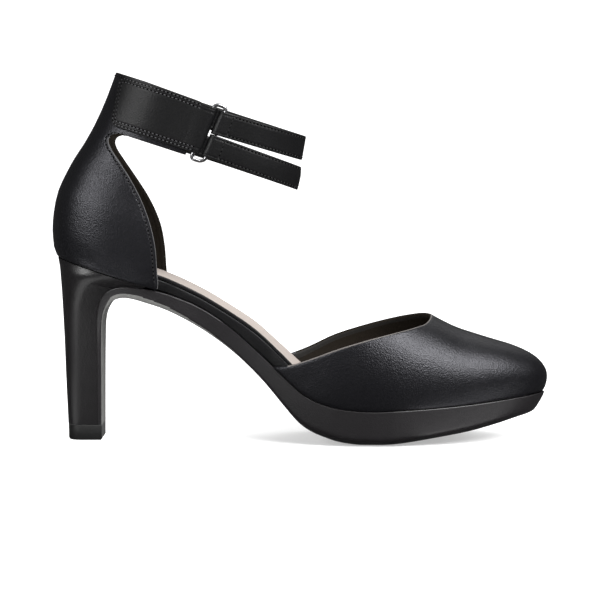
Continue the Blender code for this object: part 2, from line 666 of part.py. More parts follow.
def main():
    clear_scene()
    collection = bpy.data.collections.new(OBJECT_NAME)
    bpy.context.scene.collection.children.link(collection)
    collection.objects.link(bpy.data.objects.new("shoe_root", None))
    material = {name: make_material(name) for name in MATERIALS}

    add_outsole(material["sole_rubber"])
    add_heel(material["heel_cover"])
    add_heel_lift(material["lift_rubber"])
    board_drop = INSOLE_THICKNESS + GAP
    leather = material["upper_leather"]
    add_bed("footbed", 0.0, lambda bed: GAP, lambda bed: bed - board_drop, leather)
    sock = material["insole_leather"]
    add_bed("insole", INSOLE_INSET, lambda bed: bed - INSOLE_THICKNESS, lambda bed: bed, sock)
    add_vamp(leather)
    add_quarter(leather)
    add_tab(leather)
    for name, (at_ring, at_front) in STRAPS.items():
        add_strap(name, at_ring, at_front, leather)
    add_ring(material["ring_metal"])


main()
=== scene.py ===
import math

import bmesh
import bpy
import numpy as np
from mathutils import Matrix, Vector


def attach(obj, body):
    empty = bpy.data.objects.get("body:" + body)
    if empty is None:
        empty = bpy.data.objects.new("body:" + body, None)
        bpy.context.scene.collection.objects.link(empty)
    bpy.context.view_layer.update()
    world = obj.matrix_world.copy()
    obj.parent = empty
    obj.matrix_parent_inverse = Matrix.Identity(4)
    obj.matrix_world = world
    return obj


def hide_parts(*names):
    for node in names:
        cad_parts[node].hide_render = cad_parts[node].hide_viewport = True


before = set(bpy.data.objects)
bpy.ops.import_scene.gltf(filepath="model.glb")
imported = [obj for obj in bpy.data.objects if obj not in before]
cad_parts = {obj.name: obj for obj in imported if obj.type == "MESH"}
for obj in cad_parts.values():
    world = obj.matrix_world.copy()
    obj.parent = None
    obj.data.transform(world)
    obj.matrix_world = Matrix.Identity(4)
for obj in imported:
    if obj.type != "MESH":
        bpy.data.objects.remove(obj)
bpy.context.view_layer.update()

MM = 0.001
MERGE = 0.00001
TINY = 1e-6
SHARP_ANGLE = math.radians(55)

# Sizes in millimetres
GAP = 0.3
VAMP_WALL = 1.8
QUARTER_WALL = 2.0
INSOLE_THICKNESS = 1.8
STRAP_THICKNESS = 1.4
RING_WIRE = 1.8
RING_HEIGHT = 29.2
RING_BAR_REACH = 3.05

# Middle of the whole shoe's box, measured in the frame of the tables
BOX_MIDDLE = (0.272, -0.041, 0.0)

# Feather line from heel to toe: x, its height, outer and inner edge, insole top above it
STATIONS = (
    (-115.4, 86.6, 0.0, 0.0, 7.0),
    (-112.5, 85.7, -11.0, 10.6, 7.0),
    (-105.5, 83.5, -19.2, 18.5, 7.0),
    (-95.0, 80.2, -24.1, 23.2, 7.2),
    (-80.0, 75.5, -24.8, 23.9, 7.6),
    (-64.0, 70.5, -22.7, 21.9, 7.6),
    (-48.0, 64.0, -21.3, 20.4, 6.8),
    (-34.0, 55.0, -21.6, 20.0, 7.6),
    (-21.0, 43.8, -23.6, 21.6, 10.0),
    (-9.0, 32.6, -27.4, 24.8, 10.2),
    (3.0, 22.6, -31.8, 28.8, 9.0),
    (16.0, 17.8, -35.6, 33.2, 7.2),
    (32.0, 16.2, -37.4, 36.6, 6.4),
    (48.0, 16.7, -36.6, 37.2, 6.2),
    (64.0, 17.5, -33.2, 34.4, 6.2),
    (80.0, 18.6, -28.0, 29.6, 6.2),
    (94.0, 19.9, -21.6, 24.0, 6.0),
    (105.0, 21.0, -14.6, 17.6, 6.0),
    (112.5, 21.7, -7.2, 11.0, 6.0),
    (116.4, 22.0, 2.0, 2.0, 6.0),
)
STATION_STEPS = 24

# Footbed: x and inset from the feather line, which is less where no upper covers its edge
BED_INSETS = ((-115.4, 2.8), (-62.5, 2.8), (-56.0, 1.5), (-22.0, 1.5), (-15.0, 2.8), (116.4, 2.8))
INSOLE_INSET = 0.1

# Sole from toe to the foot of the heel: upper x, its drop below the feather line, lower x and height,
# outer and inner edge, inset and rise of the rounded lower edge
SOLE_ROWS = (
    (116.9, 0.0, 112.0, 13.2, 2.0, 2.0, 3.0, 3.0),
    (113.1, 0.0, 108.8, 12.2, -7.3, 11.1, 4.0, 3.5),
    (105.4, 0.0, 101.8, 10.6, -14.6, 17.6, 6.0, 4.0),
    (94.2, 0.0, 91.7, 8.0, -21.5, 23.9, 8.0, 4.0),
    (80.0, 0.0, 78.8, 5.2, -27.6, 29.2, 9.0, 4.0),
    (64.0, 0.0, 63.6, 2.9, -32.8, 34.0, 9.0, 4.0),
    (48.0, 0.0, 48.0, 0.7, -36.2, 36.8, 9.0, 4.0),
    (38.0, 0.0, 38.5, 0.0, -36.9, 36.8, 9.0, 4.0),
    (27.0, 0.0, 28.0, 0.0, -36.5, 35.4, 9.0, 4.0),
    (16.0, 0.0, 18.6, 1.2, -35.0, 32.6, 8.0, 4.0),
    (9.0, 0.0, 11.6, 3.3, -33.0, 30.2, 7.0, 4.0),
    (3.0, 0.0, 5.0, 6.0, -31.0, 28.0, 6.0, 4.0),
    (-3.0, 0.0, -1.0, 10.2, -28.6, 26.0, 5.0, 3.5),
    (-9.0, 0.0, -7.2, 17.0, -26.2, 23.6, 4.5, 3.0),
    (-21.0, 0.0, -17.6, 29.2, -22.4, 20.4, 4.0, 3.0),
    (-34.0, 0.0, -30.2, 41.4, -20.4, 18.8, 4.0, 3.0),
    (-48.0, 0.0, -44.6, 52.2, -20.1, 19.2, 4.0, 3.0),
    (-62.0, 0.0, -60.2, 61.0, -21.2, 20.4, 4.0, 3.0),
    (-74.0, 1.3, -72.6, 65.6, -21.4, 20.6, 3.5, 2.5),
    (-83.6, 3.6, -81.6, 67.8, -20.6, 20.0, 2.5, 2.0),
    (-89.6, 7.2, -87.4, 66.6, -19.0, 18.6, 1.6, 1.6),
    (-93.5, 12.7, -91.3, 62.4, -17.0, 16.8, 1.0, 1.0),
    (-95.3, 20.3, -93.2, 56.4, -14.9, 14.9, 0.9, 0.9),
    (-95.6, 34.4, -93.5, 45.0, -12.7, 12.7, 0.9, 0.9),
    (-95.4, 52.3, -93.6, 28.0, -11.7, 11.7, 0.9, 0.9),
    (-95.3, 73.0, -93.7, 7.3, -11.3, 11.3, 0.9, 0.9),
)
SOLE_EDGE_SHARE = 0.45
SOLE_SIDE_POWER = 1.3

# Heel sections from the lift up to the seat: back x and height, breast x and height, half width,
# half width at the breast, share of the depth that is rounded, squareness of the rounding
HEEL_ROWS = (
    (-110.4, 7.3, -95.6, 7.3, 11.4, 11.3, 0.5, 2.8),
    (-111.3, 28.0, -95.75, 28.0, 12.0, 11.7, 0.5, 2.8),
    (-111.9, 46.0, -95.95, 46.0, 13.0, 12.7, 0.52, 2.7),
    (-112.5, 60.0, -95.65, 60.2, 15.3, 14.9, 0.55, 2.6),
    (-113.0, 69.0, -93.9, 67.3, 17.8, 17.0, 0.58, 2.4),
    (-113.5, 76.0, -90.0, 71.7, 20.4, 19.0, 0.6, 2.3),
    (-114.0, 81.5, -84.0, 73.5, 22.8, 20.6, 0.64, 2.2),
    (-114.9, 86.44, -72.4, 73.07, 24.3, 22.4, 0.66, 2.05),
)
# Sections of the lift under the heel, in the same columns
LIFT_ROWS = (
    (-109.8, 0.0, -94.2, 0.0, 10.8, 10.7, 0.5, 2.8),
    (-110.2, 0.7, -93.8, 0.7, 11.2, 11.1, 0.5, 2.8),
    (-110.3, 7.0, -93.8, 7.0, 11.3, 11.2, 0.5, 2.8),
)
HEEL_SIDE_POINTS = 26

# Ridge of the vamp, and of the instep it would follow behind the throat: x and height
RIDGE = ((-14.0, 108.0), (0.0, 98.5), (20.0, 85.0), (40.0, 71.6), (56.0, 62.2), (62.8, 58.7), (68.0, 55.9),
         (74.3, 52.9), (83.0, 49.9), (91.4, 47.3), (100.0, 44.8), (106.0, 42.8), (117.0, 39.4))
# Top edge of the vamp: x, outer height, inner height
TOPLINE = (
    (-12.0, 35.3, 35.3),
    (-3.0, 37.2, 37.9),
    (4.0, 39.7, 40.4),
    (16.0, 44.3, 45.8),
    (30.0, 48.7, 50.4),
    (44.0, 52.2, 54.5),
    (54.0, 54.5, 57.2),
    (60.0, 56.4, 58.6),
    (62.8, 58.7, 58.7),
)
# Squareness of the vamp's arch: x and power
VAMP_POWERS = ((-14.0, 2.7), (36.0, 2.5), (80.0, 2.7), (104.0, 3.2), (116.4, 3.8))
VAMP_BULGE = 2.0
RIDGE_BEND_START = 66.0
RIDGE_END = 97.0

# Frame of the quarter and straps: along the heel seat (u), across (y) and square to the seat (n)
SEAT_BACK_X = -115.0
SEAT_BACK_Z = 85.5
SEAT_PITCH = math.radians(18.0)

# One side of the plan of quarter and ankle loop, back to front: share of length, share of half width
LOOP_HALF = ((0.0, 0.0), (0.03, 0.40), (0.10, 0.71), (0.22, 0.92), (0.36, 0.99), (0.50, 1.0), (0.66, 0.91),
             (0.80, 0.70), (0.91, 0.43), (0.975, 0.18), (1.0, 0.0))
LOOP_STEPS = 12
LOOP_SLOPE_SHARE = 0.004
LOOP_LENGTH = 98.0
LOOP_HALF_WIDTH = 25.0

# Quarter sections by height over the seat: n, back u, loop length, half width,
# front edge u outside and inside
QUARTER_ROWS = (
    (5.0, -3.7, 100.0, 25.6, 49.6, 51.2),
    (12.0, -6.6, 102.0, 26.3, 46.8, 48.3),
    (20.0, -8.6, 104.0, 26.4, 43.6, 45.0),
    (31.0, -9.7, 105.0, 26.0, 37.2, 38.7),
    (40.0, -8.6, 104.0, 24.8, 29.9, 30.6),
    (48.0, -7.0, 103.0, 24.2, 21.5, 21.0),
    (54.0, -5.3, 102.0, 24.2, 14.0, 13.2),
    (57.6, -4.4, 101.5, 24.4, 9.4, 8.8),
    (60.4, -3.8, 101.2, 24.6, 6.9, 6.8),
    (62.8, -3.3, 101.1, 24.8, 6.8, 6.8),
    (64.4, -3.0, 101.0, 25.0, 8.2, 8.2),
    (65.6, -2.8, 101.0, 25.0, 10.7, 10.7),
    (66.2, -2.7, 101.0, 25.0, 14.4, 14.4),
    (79.5, -1.2, 97.2, 25.0, 14.4, 14.4),
    (92.3, -0.6, 94.8, 25.0, 14.4, 14.4),
)
# Front end of the quarter's foot, outside and inside
QUARTER_FRONT_X = {-1: -66.1, 1: -64.7}
QUARTER_STEPS = 2
CUFF_LOW = 66.2
CUFF_HIGH = 92.3
CUFF_END_HIGH = 91.4
CUFF_OUTER_END = 43.2
CUFF_INNER_END = 40.0

# Closure: ring, folded tab and two straps
RING_U = 51.1
RING_N = 79.0
RING_OUT = 0.2
CLOSURE_LEAN = 0.15
RING_CORNER = 2.2
FOLD_EASE = 0.1
FOLD_RADIUS = RING_WIRE / 2 + GAP + FOLD_EASE + STRAP_THICKNESS / 2
FOLD_POINTS = 8
TAB_LOW = 68.4
TAB_HIGH = 91.8
TAB_RING_HIGH = 90.9
TAB_NARROWING = (-18.0, -6.0)
TAB_END_U = 5.4
TAB_END_LEAN = -1.6
TAB_CORNER = 4.0
TAB_END_POINTS = 9
# Run of the tab's outer layer towards the ring: distance from the ring's middle, height over the cuff
TAB_OUTER = ((-24.0, 1.0), (-16.0, 1.05), (-11.0, 1.3), (-8.0, 1.7), (-5.4, 2.05))
# Inner layer behind the ring, ending at the cuff
TAB_INNER = ((-4.6, -1.75), (-5.8, -1.7))
# Strap: tail behind the run, run to the front, and lap inside the inner cuff
STRAP_TAIL = ((12.0, -1.8), (6.8, -1.8))
STRAP_RUN = ((5.6, 2.0), (8.6, 1.4), (12.0, 0.6), (16.0, -0.15), (20.0, -0.6), (26.0, -0.7))
STRAP_LAP = 14.0
STRAP_LAP_SHARES = (0.35, 0.65, 0.9)
STRAP_END_SHARES = (0.0, 0.5, 1.0)
STRAP_LAP_OUT = -QUARTER_WALL - GAP - STRAP_THICKNESS / 2
STRAP_POINTS = 40
# Height bounds at the ring and at the front turn
STRAPS = {"strap_lower": ((68.2, 78.8), (66.2, 77.0)), "strap_upper": ((79.15, 90.3), (80.3, 91.5))}

# Points that the outer faces of the shells look to, and distances of such points from the ankle wall
VAMP_OUTWARD = (87.0, 2.0, 90.0)
QUARTER_OUTWARD = (-160.0, 0.0, 110.0)
TAB_OUTWARD = 60.0
STRAP_OUTWARD = 40.0
STRAP_OUTWARD_SPOT = 30.0

# Finer sole, heel and bed of the looks
SOLE_FINE_STEPS = 7
SOLE_TOP_ROUND = 0.3
SOLE_TOP_DEPTH_SHARE = 0.1
SOLE_TOP_HALF_SHARE = 0.3
SOLE_SIDE_SHARES = (0.3, 0.6, 0.9)
SOLE_ARC_POINTS = 12
# Faces of the rounded lower edge left bare, by row of the sole
SOLE_BARE = ((10.0, 0.0), (12.0, 4.0), (15.0, 7.0), (17.0, 10.0), (18.0, 12.0), (20.0, 12.0), (22.0, 5.0))
HEEL_FINE_STEPS = 12
HEEL_BREAST_COLUMN, HEEL_BREAST_HEIGHT_COLUMN = 2, 3
HEEL_BREAST_OVER = 0.3
HEEL_BREAST_DOWN = 0.4
HEEL_FLARE_ROW = 4
# Top of the lift's shoulder strip; this strip and the lift's breast face take a lighter grey, a painted
# highlight
LIFT_SHOULDER = (-110.3, 7.2, -93.8, 7.2, 11.1, 11.0, 0.5, 2.8)
BED_EVERY = 4
BED_EDGE_POINTS = 4
BED_MIDDLE_POINTS = 9
BED_ROUND_SHARE = 0.5
BED_FULL_DISH_HALF = 20.0
INSOLE_DISH = 0.6
# Rounding of the upper and lower edge
FOOTBED_ROUNDING = (0.8, 0.7)
INSOLE_ROUNDING = (0.7, 0.1)

# Finer vamp and quarter
VAMP_FINE_LEVELS = 40
VAMP_FINE_COLUMNS = 96
VAMP_SPREAD = 1.15
# Level of the vamp's lowest rows and how far each is turned under
FOOT_TURN = ((0.0, 0.4), (0.0025, 0.12), (0.0073, 0.03), (0.0164, 0.0))
FOOT_BAND = 1.0
TOPLINE_PLAIN = 8.0
TOPLINE_ROUND = 0.55
TAPE_COLUMNS = 2
QUARTER_FINE_STEPS = 6
QUARTER_FINE_COLUMNS = 34
# Share of the height of the quarter's lowest rows and how far each is turned under
QUARTER_FOOT_TURN = ((0.0, 0.7), (0.06, 0.25), (0.16, 0.06), (0.4, 0.0))
QUARTER_MIDDLE_X = -85.0
# Height over the seat up to which the quarter's front edge takes the grey painted highlight
FRONT_EDGE_TOP = 63.0
CUFF_FINE_LEVELS = 22
CUFF_END_POINTS = 14
# Distances from an edge at which the leather has points
EDGE_FINE = (0.0, 0.3, 0.6, 0.9, 1.2, 1.5, 1.8, 2.1, 2.4, 2.7, 3.0, 3.5, 4.0)
RIM_ROUND = 0.3
RIM_DEPTHS = (0.22, 0.78)
OUTER, RIM, INNER, INNER_TAPE = range(4)
# Creases, listed: x, y, z of the middle, run of the fold, half length, half width, height
VAMP_CREASES = (
    (70.0, -24.0, 40.0, 0.5, 0.2, 0.8, 9.0, 2.4, -0.10),
    (63.0, -30.0, 36.0, 0.4, 0.1, 0.9, 8.0, 2.2, -0.10),
    (76.0, 24.0, 38.0, 0.4, -0.2, 0.9, 9.0, 2.4, -0.10),
    (66.0, 30.0, 36.0, 0.4, -0.1, 0.9, 8.0, 2.4, -0.10),
    (98.0, -18.0, 24.5, -0.3, 0.1, 1.0, 3.5, 1.0, -0.12),
    (104.0, -15.0, 25.0, -0.3, 0.2, 1.0, 3.5, 1.0, -0.12),
    (109.5, -10.5, 25.3, -0.3, 0.3, 1.0, 3.5, 1.0, -0.12),
    (101.0, 21.0, 25.0, -0.3, -0.2, 1.0, 3.5, 1.0, -0.12),
    (108.0, 15.5, 25.3, -0.3, -0.3, 1.0, 3.5, 1.0, -0.12),
    (2.0, -32.0, 30.0, 0.8, -0.2, 0.5, 7.0, 1.6, -0.10),
)
QUARTER_CREASES = (
    (-91.0, -12.0, 143.0, 0.8, -0.5, 0.1, 9.0, 2.0, -0.16),
    (-95.0, -13.0, 137.0, 0.8, -0.5, 0.2, 9.0, 2.2, -0.14),
    (-93.0, 12.5, 141.0, 0.8, 0.5, 0.1, 9.0, 2.0, -0.16),
    (-97.0, 13.5, 135.0, 0.8, 0.5, 0.2, 9.0, 2.2, -0.14),
    (-112.0, -14.0, 90.5, 0.2, 0.3, 1.0, 3.5, 1.1, -0.12),
    (-106.0, -20.0, 88.5, 0.1, 0.2, 1.0, 3.5, 1.1, -0.12),
    (-112.0, 14.0, 90.5, 0.2, -0.3, 1.0, 3.5, 1.1, -0.12),
    (-106.0, 19.5, 88.5, 0.1, -0.2, 1.0, 3.5, 1.1, -0.12),
)
CREASE_REACH = 3

# Stitches
QUARTER_STITCH_IN = 1.6
CUFF_STITCH_IN = 1.3
CUFF_STITCH_MARGIN = 1.0
STITCH_DENT = 0.17
STITCH_DENT_WIDTH = 0.45
STITCH_DENT_FADE = 2.0
STITCH_PITCH = 1.9
STITCH_LENGTH = 1.05
THREAD_RADIUS = 0.2
# Size of the near-black beads between the thread beads, painted shade of the stitch holes
HOLE_LENGTH = 0.8
HOLE_RADIUS = 0.3
BEAD_SIDES = 6
# Bead of thread: share of its length, share of its radius
BEAD_PROFILE = ((0.0, 0.35), (0.2, 0.9), (0.5, 1.0), (0.8, 0.9), (1.0, 0.35))
BEAD_LIFT = 0.55
BEAD_SINK = 0.35

# Finer tab, straps and ring
STRIP_ROUND = 0.25
STRIP_ROUND_WIDTH = 0.7
STRIP_MIDDLE_ROOM = 0.6
STRIP_MIDDLE_POINTS = 4
TAB_STEP = 0.55
TAB_PATH_STEPS = 6
TAB_STITCH_LINES = (0.9, 2.4)
TAB_STITCH_FRONTS = (-8.0, -4.0)
TAB_STITCH_POINTS = 40
TAB_STITCH_TURN_POINTS = 8
STRAP_STEP = 0.7
STRAP_PATH_STEPS = 5
STRAP_STITCH_LINE = 1.1
STRAP_STITCH_START = 7.7
STRAP_STITCH_POINTS = 120
STRAP_CROSS_POINTS = 12
STRAP_TAIL_CLEAR = 0.2
STRAP_FOLD_CLEAR = 1.0
RING_FINE_POINTS = 14
RING_SIDES = 18

CAMERA_PLACE = (0.0, -1100.0, 140.0)
CAMERA_AIM = (0.0, 0.0, 65.7)
LENS = 138.9
SENSOR_WIDTH = 36.0

# Floor, lights and air in metres and watts
FLOOR_COLOUR = (0.55, 0.55, 0.55)
FLOOR_ROUGHNESS = 0.9
FLOOR_MIDDLE_X = 0.03
FLOOR_LEVEL = -0.0001
# Parts of the floor that show in the gloss: x from and to, y from and to
NEAR_FLOOR = ((-0.215, -0.155, -0.3, -0.02), (0.03, 0.15, -0.06, -0.035))
FLOOR_SIDE = 8.0
FLOOR_FRONT = -6.0
SWEEP_START = 2.0
SWEEP_RADIUS = 2.0
SWEEP_POINTS = 16
WALL_TOP = 8.0
# Distance from the middle and the glow of the floor; the low glow near the middle is a painted shadow round
# the shoe
FLOOR_GLOW = {"From Min": 0.03, "From Max": 0.12, "To Min": 0.4, "To Max": 1.15}
WORLD_GLOW = 0.07
# Area lights: name, place, aim, size, power
LIGHTS = (
    ("left_box", (-0.90, -0.80, 0.62), (-0.08, 0.0, 0.1), (0.5, 0.5), 10.0),
    ("right_box", (0.70, -0.68, 0.86), (0.06, 0.0, 0.04), (0.8, 0.8), 29.0),
    ("top_box", (0.0, 0.5, 1.5), (0.0, 0.0, 0.06), (1.4, 1.0), 7.5),
    ("back_box", (0.60, 1.30, 0.95), (0.08, 0.0, 0.03), (0.8, 0.5), 0.9),
)

GRAIN_STRENGTH = 0.8
FINE_GRAIN_SHARE = 0.6
FINE_GRAIN_DETAIL = 6.0
FINE_GRAIN_WEIGHT = 0.8
BROAD_GRAIN = 60.0
BROAD_GRAIN_DETAIL = 3.0
TONE_RANGE = {"A": 0.75, "B": 1.25}
LEATHER_TINT = (0.93, 0.93, 1.0)
# Material: name, colour, roughness, grain cells per metre, depth in mm, spread of gloss, specular, metallic
LOOKS = (
    ("black_leather", (0.0025, 0.0025, 0.0032), 0.37, 1700.0, 0.12, 0.05, 0.40),
    ("strap_leather", (0.0035, 0.0035, 0.0038), 0.42, 1700.0, 0.08, 0.04, 0.22),
    ("platform_cover", (0.006, 0.005, 0.006), 0.42, 1700.0, 0.05, 0.04, 0.58),
    ("heel_wrap", (0.005, 0.0045, 0.005), 0.36, 1700.0, 0.05, 0.04, 0.46),
    ("sole_bare", (0.11, 0.11, 0.106), 0.60, 900.0, 0.05, 0.05, 0.25),
    ("lift_black", (0.006, 0.006, 0.006), 0.55, 900.0, 0.05, 0.05, 0.25),
    # Painted highlight: lighter grey on the lift's shoulder strip and breast face
    ("lift_painted_highlight", (0.06, 0.06, 0.06), 0.55, 900.0, 0.03, 0.05, 0.25),
    ("lining_dark", (0.011, 0.0085, 0.006), 0.65, 1200.0, 0.04, 0.05, 0.10),
    ("lining_tape", (0.014, 0.013, 0.012), 0.55, 1200.0, 0.04, 0.05, 0.15),
    # Painted highlight: pale grey on the outer strip of the vamp's near top edge only
    ("edge_painted_highlight_pale", (0.12, 0.11, 0.105), 0.60, 2000.0, 0.03, 0.05, 0.2),
    # Painted highlight: lighter grey on the outer strip of the quarter's front edges
    ("edge_painted_highlight_grey", (0.07, 0.07, 0.072), 0.50, 2000.0, 0.03, 0.05, 0.3),
    ("cut_edge_dark", (0.008, 0.008, 0.008), 0.50, 2000.0, 0.03, 0.05, 0.15),
    ("sock_cream", (0.38, 0.335, 0.305), 0.60, 1200.0, 0.04, 0.05, 0.2),
    ("ring_silver", (0.38, 0.38, 0.39), 0.30, 900.0, 0.004, 0.03, 0.5, 1.0),
    ("thread_grey", (0.055, 0.055, 0.058), 0.45, 4000.0, 0.02, 0.05, 0.3),
    ("thread_black", (0.02, 0.02, 0.02), 0.45, 4000.0, 0.02, 0.05, 0.3),
    # Painted shade: near-black, glossless beads that stand for the dark stitch holes
    ("stitch_hole_painted_shade", (0.001, 0.001, 0.001), 0.80, 4000.0, 0.02, 0.05, 0.0),
)


def smooth(rows, steps, before=None, after=None):
    """Rows on a curve through the table; the rows beyond its ends are straight on unless given."""
    table = np.array(rows, float)
    before = 2 * table[0] - table[1] if before is None else np.array(before, float)
    after = 2 * table[-1] - table[-2] if after is None else np.array(after, float)
    table = np.vstack([before, table, after])
    found = []
    for a, b, c, d in zip(table, table[1:], table[2:], table[3:]):
        for t in np.arange(steps) / steps:
            square = (2 * a - 5 * b + 4 * c - d) * t**2
            cube = (3 * b - a - 3 * c + d) * t**3
            found.append(0.5 * (2 * b + (c - a) * t + square + cube))
    found.append(table[-2])
    return np.array(found)


def graph(rows, steps):
    """Rows on a curve through a table whose first column rises; the other columns follow it."""
    table = np.array(rows, float)
    slopes = np.gradient(table, table[:, 0], axis=0)
    found = []
    for a, b, slope_a, slope_b in zip(table, table[1:], slopes, slopes[1:]):
        span = b[0] - a[0]
        for t in np.arange(steps) / steps:
            ease = t * t * (3 - 2 * t)
            bend = t * (1 - t) * ((1 - t) * slope_a - t * slope_b)
            found.append(a + (b - a) * ease + span * bend)
    found.append(table[-1])
    return np.array(found)


def run_lengths(points):
    """Distance along a line of points at each of them."""
    steps = np.linalg.norm(np.diff(points, axis=0), axis=1)
    return np.insert(np.cumsum(steps), 0, 0.0)


def points_at(points, spots, wanted):
    """Points at the wanted distances along a line that has its points at the given ones."""
    return np.column_stack([np.interp(wanted, spots, column) for column in points.T])


def sides_swapped(row):
    x, seam, lateral, medial, bed = row
    return (x, seam, medial, lateral, bed)


STATION = smooth(STATIONS, STATION_STEPS, sides_swapped(STATIONS[1]), sides_swapped(STATIONS[-2]))
STATION_X, STATION_SEAM, STATION_OUTER, STATION_INNER, STATION_BED = STATION.T
RIDGE_CURVE = graph(RIDGE, STATION_STEPS)
LOOP_BEYOND = [(share_u, -share_y) for share_u, share_y in (LOOP_HALF[1], LOOP_HALF[-2])]
LOOP = smooth(LOOP_HALF, LOOP_STEPS, *LOOP_BEYOND)
LOOP_SPOT = run_lengths(LOOP * (LOOP_LENGTH, LOOP_HALF_WIDTH))
HALF_LOOP = LOOP_SPOT[-1]
QUARTER = graph(QUARTER_ROWS, QUARTER_STEPS)
QUARTER_FINE = graph(QUARTER_ROWS, QUARTER_FINE_STEPS)


def seam(x):
    return np.interp(x, STATION_X, STATION_SEAM)


def outline(more):
    """Outer and inner edge points at the stations, drawn in by the footbed's inset and some more."""
    picked = STATION[::BED_EVERY]
    outer = picked[:, [0, 2]]
    inner = picked[:, [0, 3]]
    loop = np.vstack([outer, inner[-2:0:-1]])
    run = np.roll(loop, -1, axis=0) - np.roll(loop, 1, axis=0)
    run /= np.linalg.norm(run, axis=1, keepdims=True)
    inset = np.interp(loop[:, 0], *np.array(BED_INSETS).T) + more
    loop = loop + np.column_stack([-run[:, 1] * inset, run[:, 0] * inset])
    count = len(outer)
    return loop[:count], np.vstack([loop[:1], loop[:count - 1:-1], loop[count - 1:count]])


def on_wall(n, spot, side, out=0.0):
    """World point at a distance along the ankle loop from its back; side is -1 outside, 1 inside."""
    back, length, half = (np.interp(n, QUARTER[:, 0], QUARTER[:, k]) for k in (1, 2, 3))
    step = HALF_LOOP * LOOP_SLOPE_SHARE

    def plan(place):
        turned = side
        if place > HALF_LOOP:
            place, turned = 2 * HALF_LOOP - place, -side
        elif place < 0:
            place, turned = -place, -side
        share_u, share_y = (np.interp(place, LOOP_SPOT, LOOP[:, k]) for k in (0, 1))
        return np.array([back + length * share_u, turned * half * share_y])

    here = plan(spot)
    run = plan(spot + step) - plan(spot - step)
    run /= np.hypot(*run)
    here = here + out * side * np.array([-run[1], run[0]])
    return from_seat(here[0], here[1], n)


def from_seat(u, y, n):
    x = SEAT_BACK_X + u * math.cos(SEAT_PITCH) + n * math.sin(SEAT_PITCH)
    z = SEAT_BACK_Z - u * math.sin(SEAT_PITCH) + n * math.cos(SEAT_PITCH)
    return (x, y, z)


def spot_at(u, n):
    """Distance along the loop at which the wall reaches u."""
    back, length = (np.interp(n, QUARTER[:, 0], QUARTER[:, k]) for k in (1, 2))
    return float(np.interp((u - back) / length, LOOP[:, 0], LOOP_SPOT))


def heel_ring(row):
    """Points round a section: flat at the breast, straight sides, rounded back."""
    back_x, back_z, breast_x, breast_z, half, breast_half, rounded, power = row
    side = [(1.0, breast_half)]
    for turn in np.linspace(0, math.pi / 2, HEEL_SIDE_POINTS):
        width = half * max(math.cos(turn), 0.0) ** (2 / power)
        side.append((rounded * (1 - math.sin(turn) ** (2 / power)), width))
    points = [(back_x + (breast_x - back_x) * s, y, back_z + (breast_z - back_z) * s) for s, y in side]
    outer = [(x, -y, z) for x, y, z in points]
    inner = points[-2::-1]
    return outer + inner


def vamp_point(place, level, side):
    """Point of the vamp's outer face: place along the stations, level 0 at its foot to 1 at the ridge."""
    spots = np.arange(len(STATION))
    x, outer, inner = (np.interp(place, spots, STATION[:, k]) for k in (0, 2, 3))
    edge = np.array([x, outer if side < 0 else inner])
    bend = max(x - RIDGE_BEND_START, 0.0)
    toe = STATION_X[-1]
    ridge_x = x - (toe - RIDGE_END) * (bend / (toe - RIDGE_BEND_START)) ** 2
    ridge_y = np.interp(ridge_x, STATION_X, (STATION_OUTER + STATION_INNER) / 2)
    ridge = np.array([ridge_x, ridge_y])
    power = np.interp(x, *np.array(VAMP_POWERS).T)
    turn = level * math.pi / 2
    reach = max(math.cos(turn), 0.0) ** (2 / power)
    rise = math.sin(turn) ** (2 / power)
    away = edge - ridge
    away /= max(np.hypot(*away), TINY)
    plan = ridge + (edge - ridge) * reach + away * VAMP_BULGE * 4 * rise * (1 - rise)
    foot = seam(plan[0]) + GAP
    top = np.interp(plan[0], *RIDGE_CURVE.T)
    return (*plan, foot + (top - foot) * rise)


def topline_places(side):
    """Level and station place along the vamp's top edge."""
    curve = graph(TOPLINE, STATION_STEPS)
    x, z = curve[:, 0], curve[:, 1 if side < 0 else 2]
    rise = np.clip((z - seam(x) - GAP) / (np.interp(x, *RIDGE_CURVE.T) - seam(x) - GAP), 0.0, 1.0)
    power = np.interp(x, *np.array(VAMP_POWERS).T)
    level = np.arcsin(rise ** (power / 2)) / (math.pi / 2)
    place = np.interp(x, STATION_X, np.arange(len(STATION)))
    level[0], level[-1] = 0.0, 1.0
    return np.maximum.accumulate(level), place


def fold_round(bar, start):
    """Half a turn round a ring bar."""
    found = []
    for angle in start - np.linspace(0, math.pi, FOLD_POINTS):
        found.append((bar + FOLD_RADIUS * math.cos(angle), RING_OUT + FOLD_RADIUS * math.sin(angle)))
    return found


def leaning(n, spot, lean, out):
    """Point of the closure, which leans with the ring where lean is 1 and stands square to the seat at 0."""
    return on_wall(n, spot + lean * CLOSURE_LEAN * (n - RING_N), -1, out)


def cuff_height(level, spot, reach, end):
    """Height over the seat at a level of the cuff, which narrows a little towards its ends."""
    narrowed = max(spot - reach, 0.0) / (end - reach)
    high = CUFF_HIGH + (CUFF_END_HIGH - CUFF_HIGH) * narrowed
    return CUFF_LOW + (high - CUFF_LOW) * level


def metres(points):
    return (np.asarray(points, float) - BOX_MIDDLE) * MM


def add_mesh(name, bm, materials):
    mesh = bpy.data.meshes.new(name)
    bm.to_mesh(mesh)
    bm.free()
    mesh.shade_smooth()
    for material in materials:
        mesh.materials.append(material)
    made = bpy.data.objects.new(name, mesh)
    bpy.context.scene.collection.objects.link(made)
    return made


def show(name, bm, materials, node):
    """Adds a finished mesh to the scene as a piece of the shoe."""
    made = add_mesh(name, bm, materials)
    made.data.set_sharp_from_angle(angle=SHARP_ANGLE)
    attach(made, "root")
    if node:
        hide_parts(node)


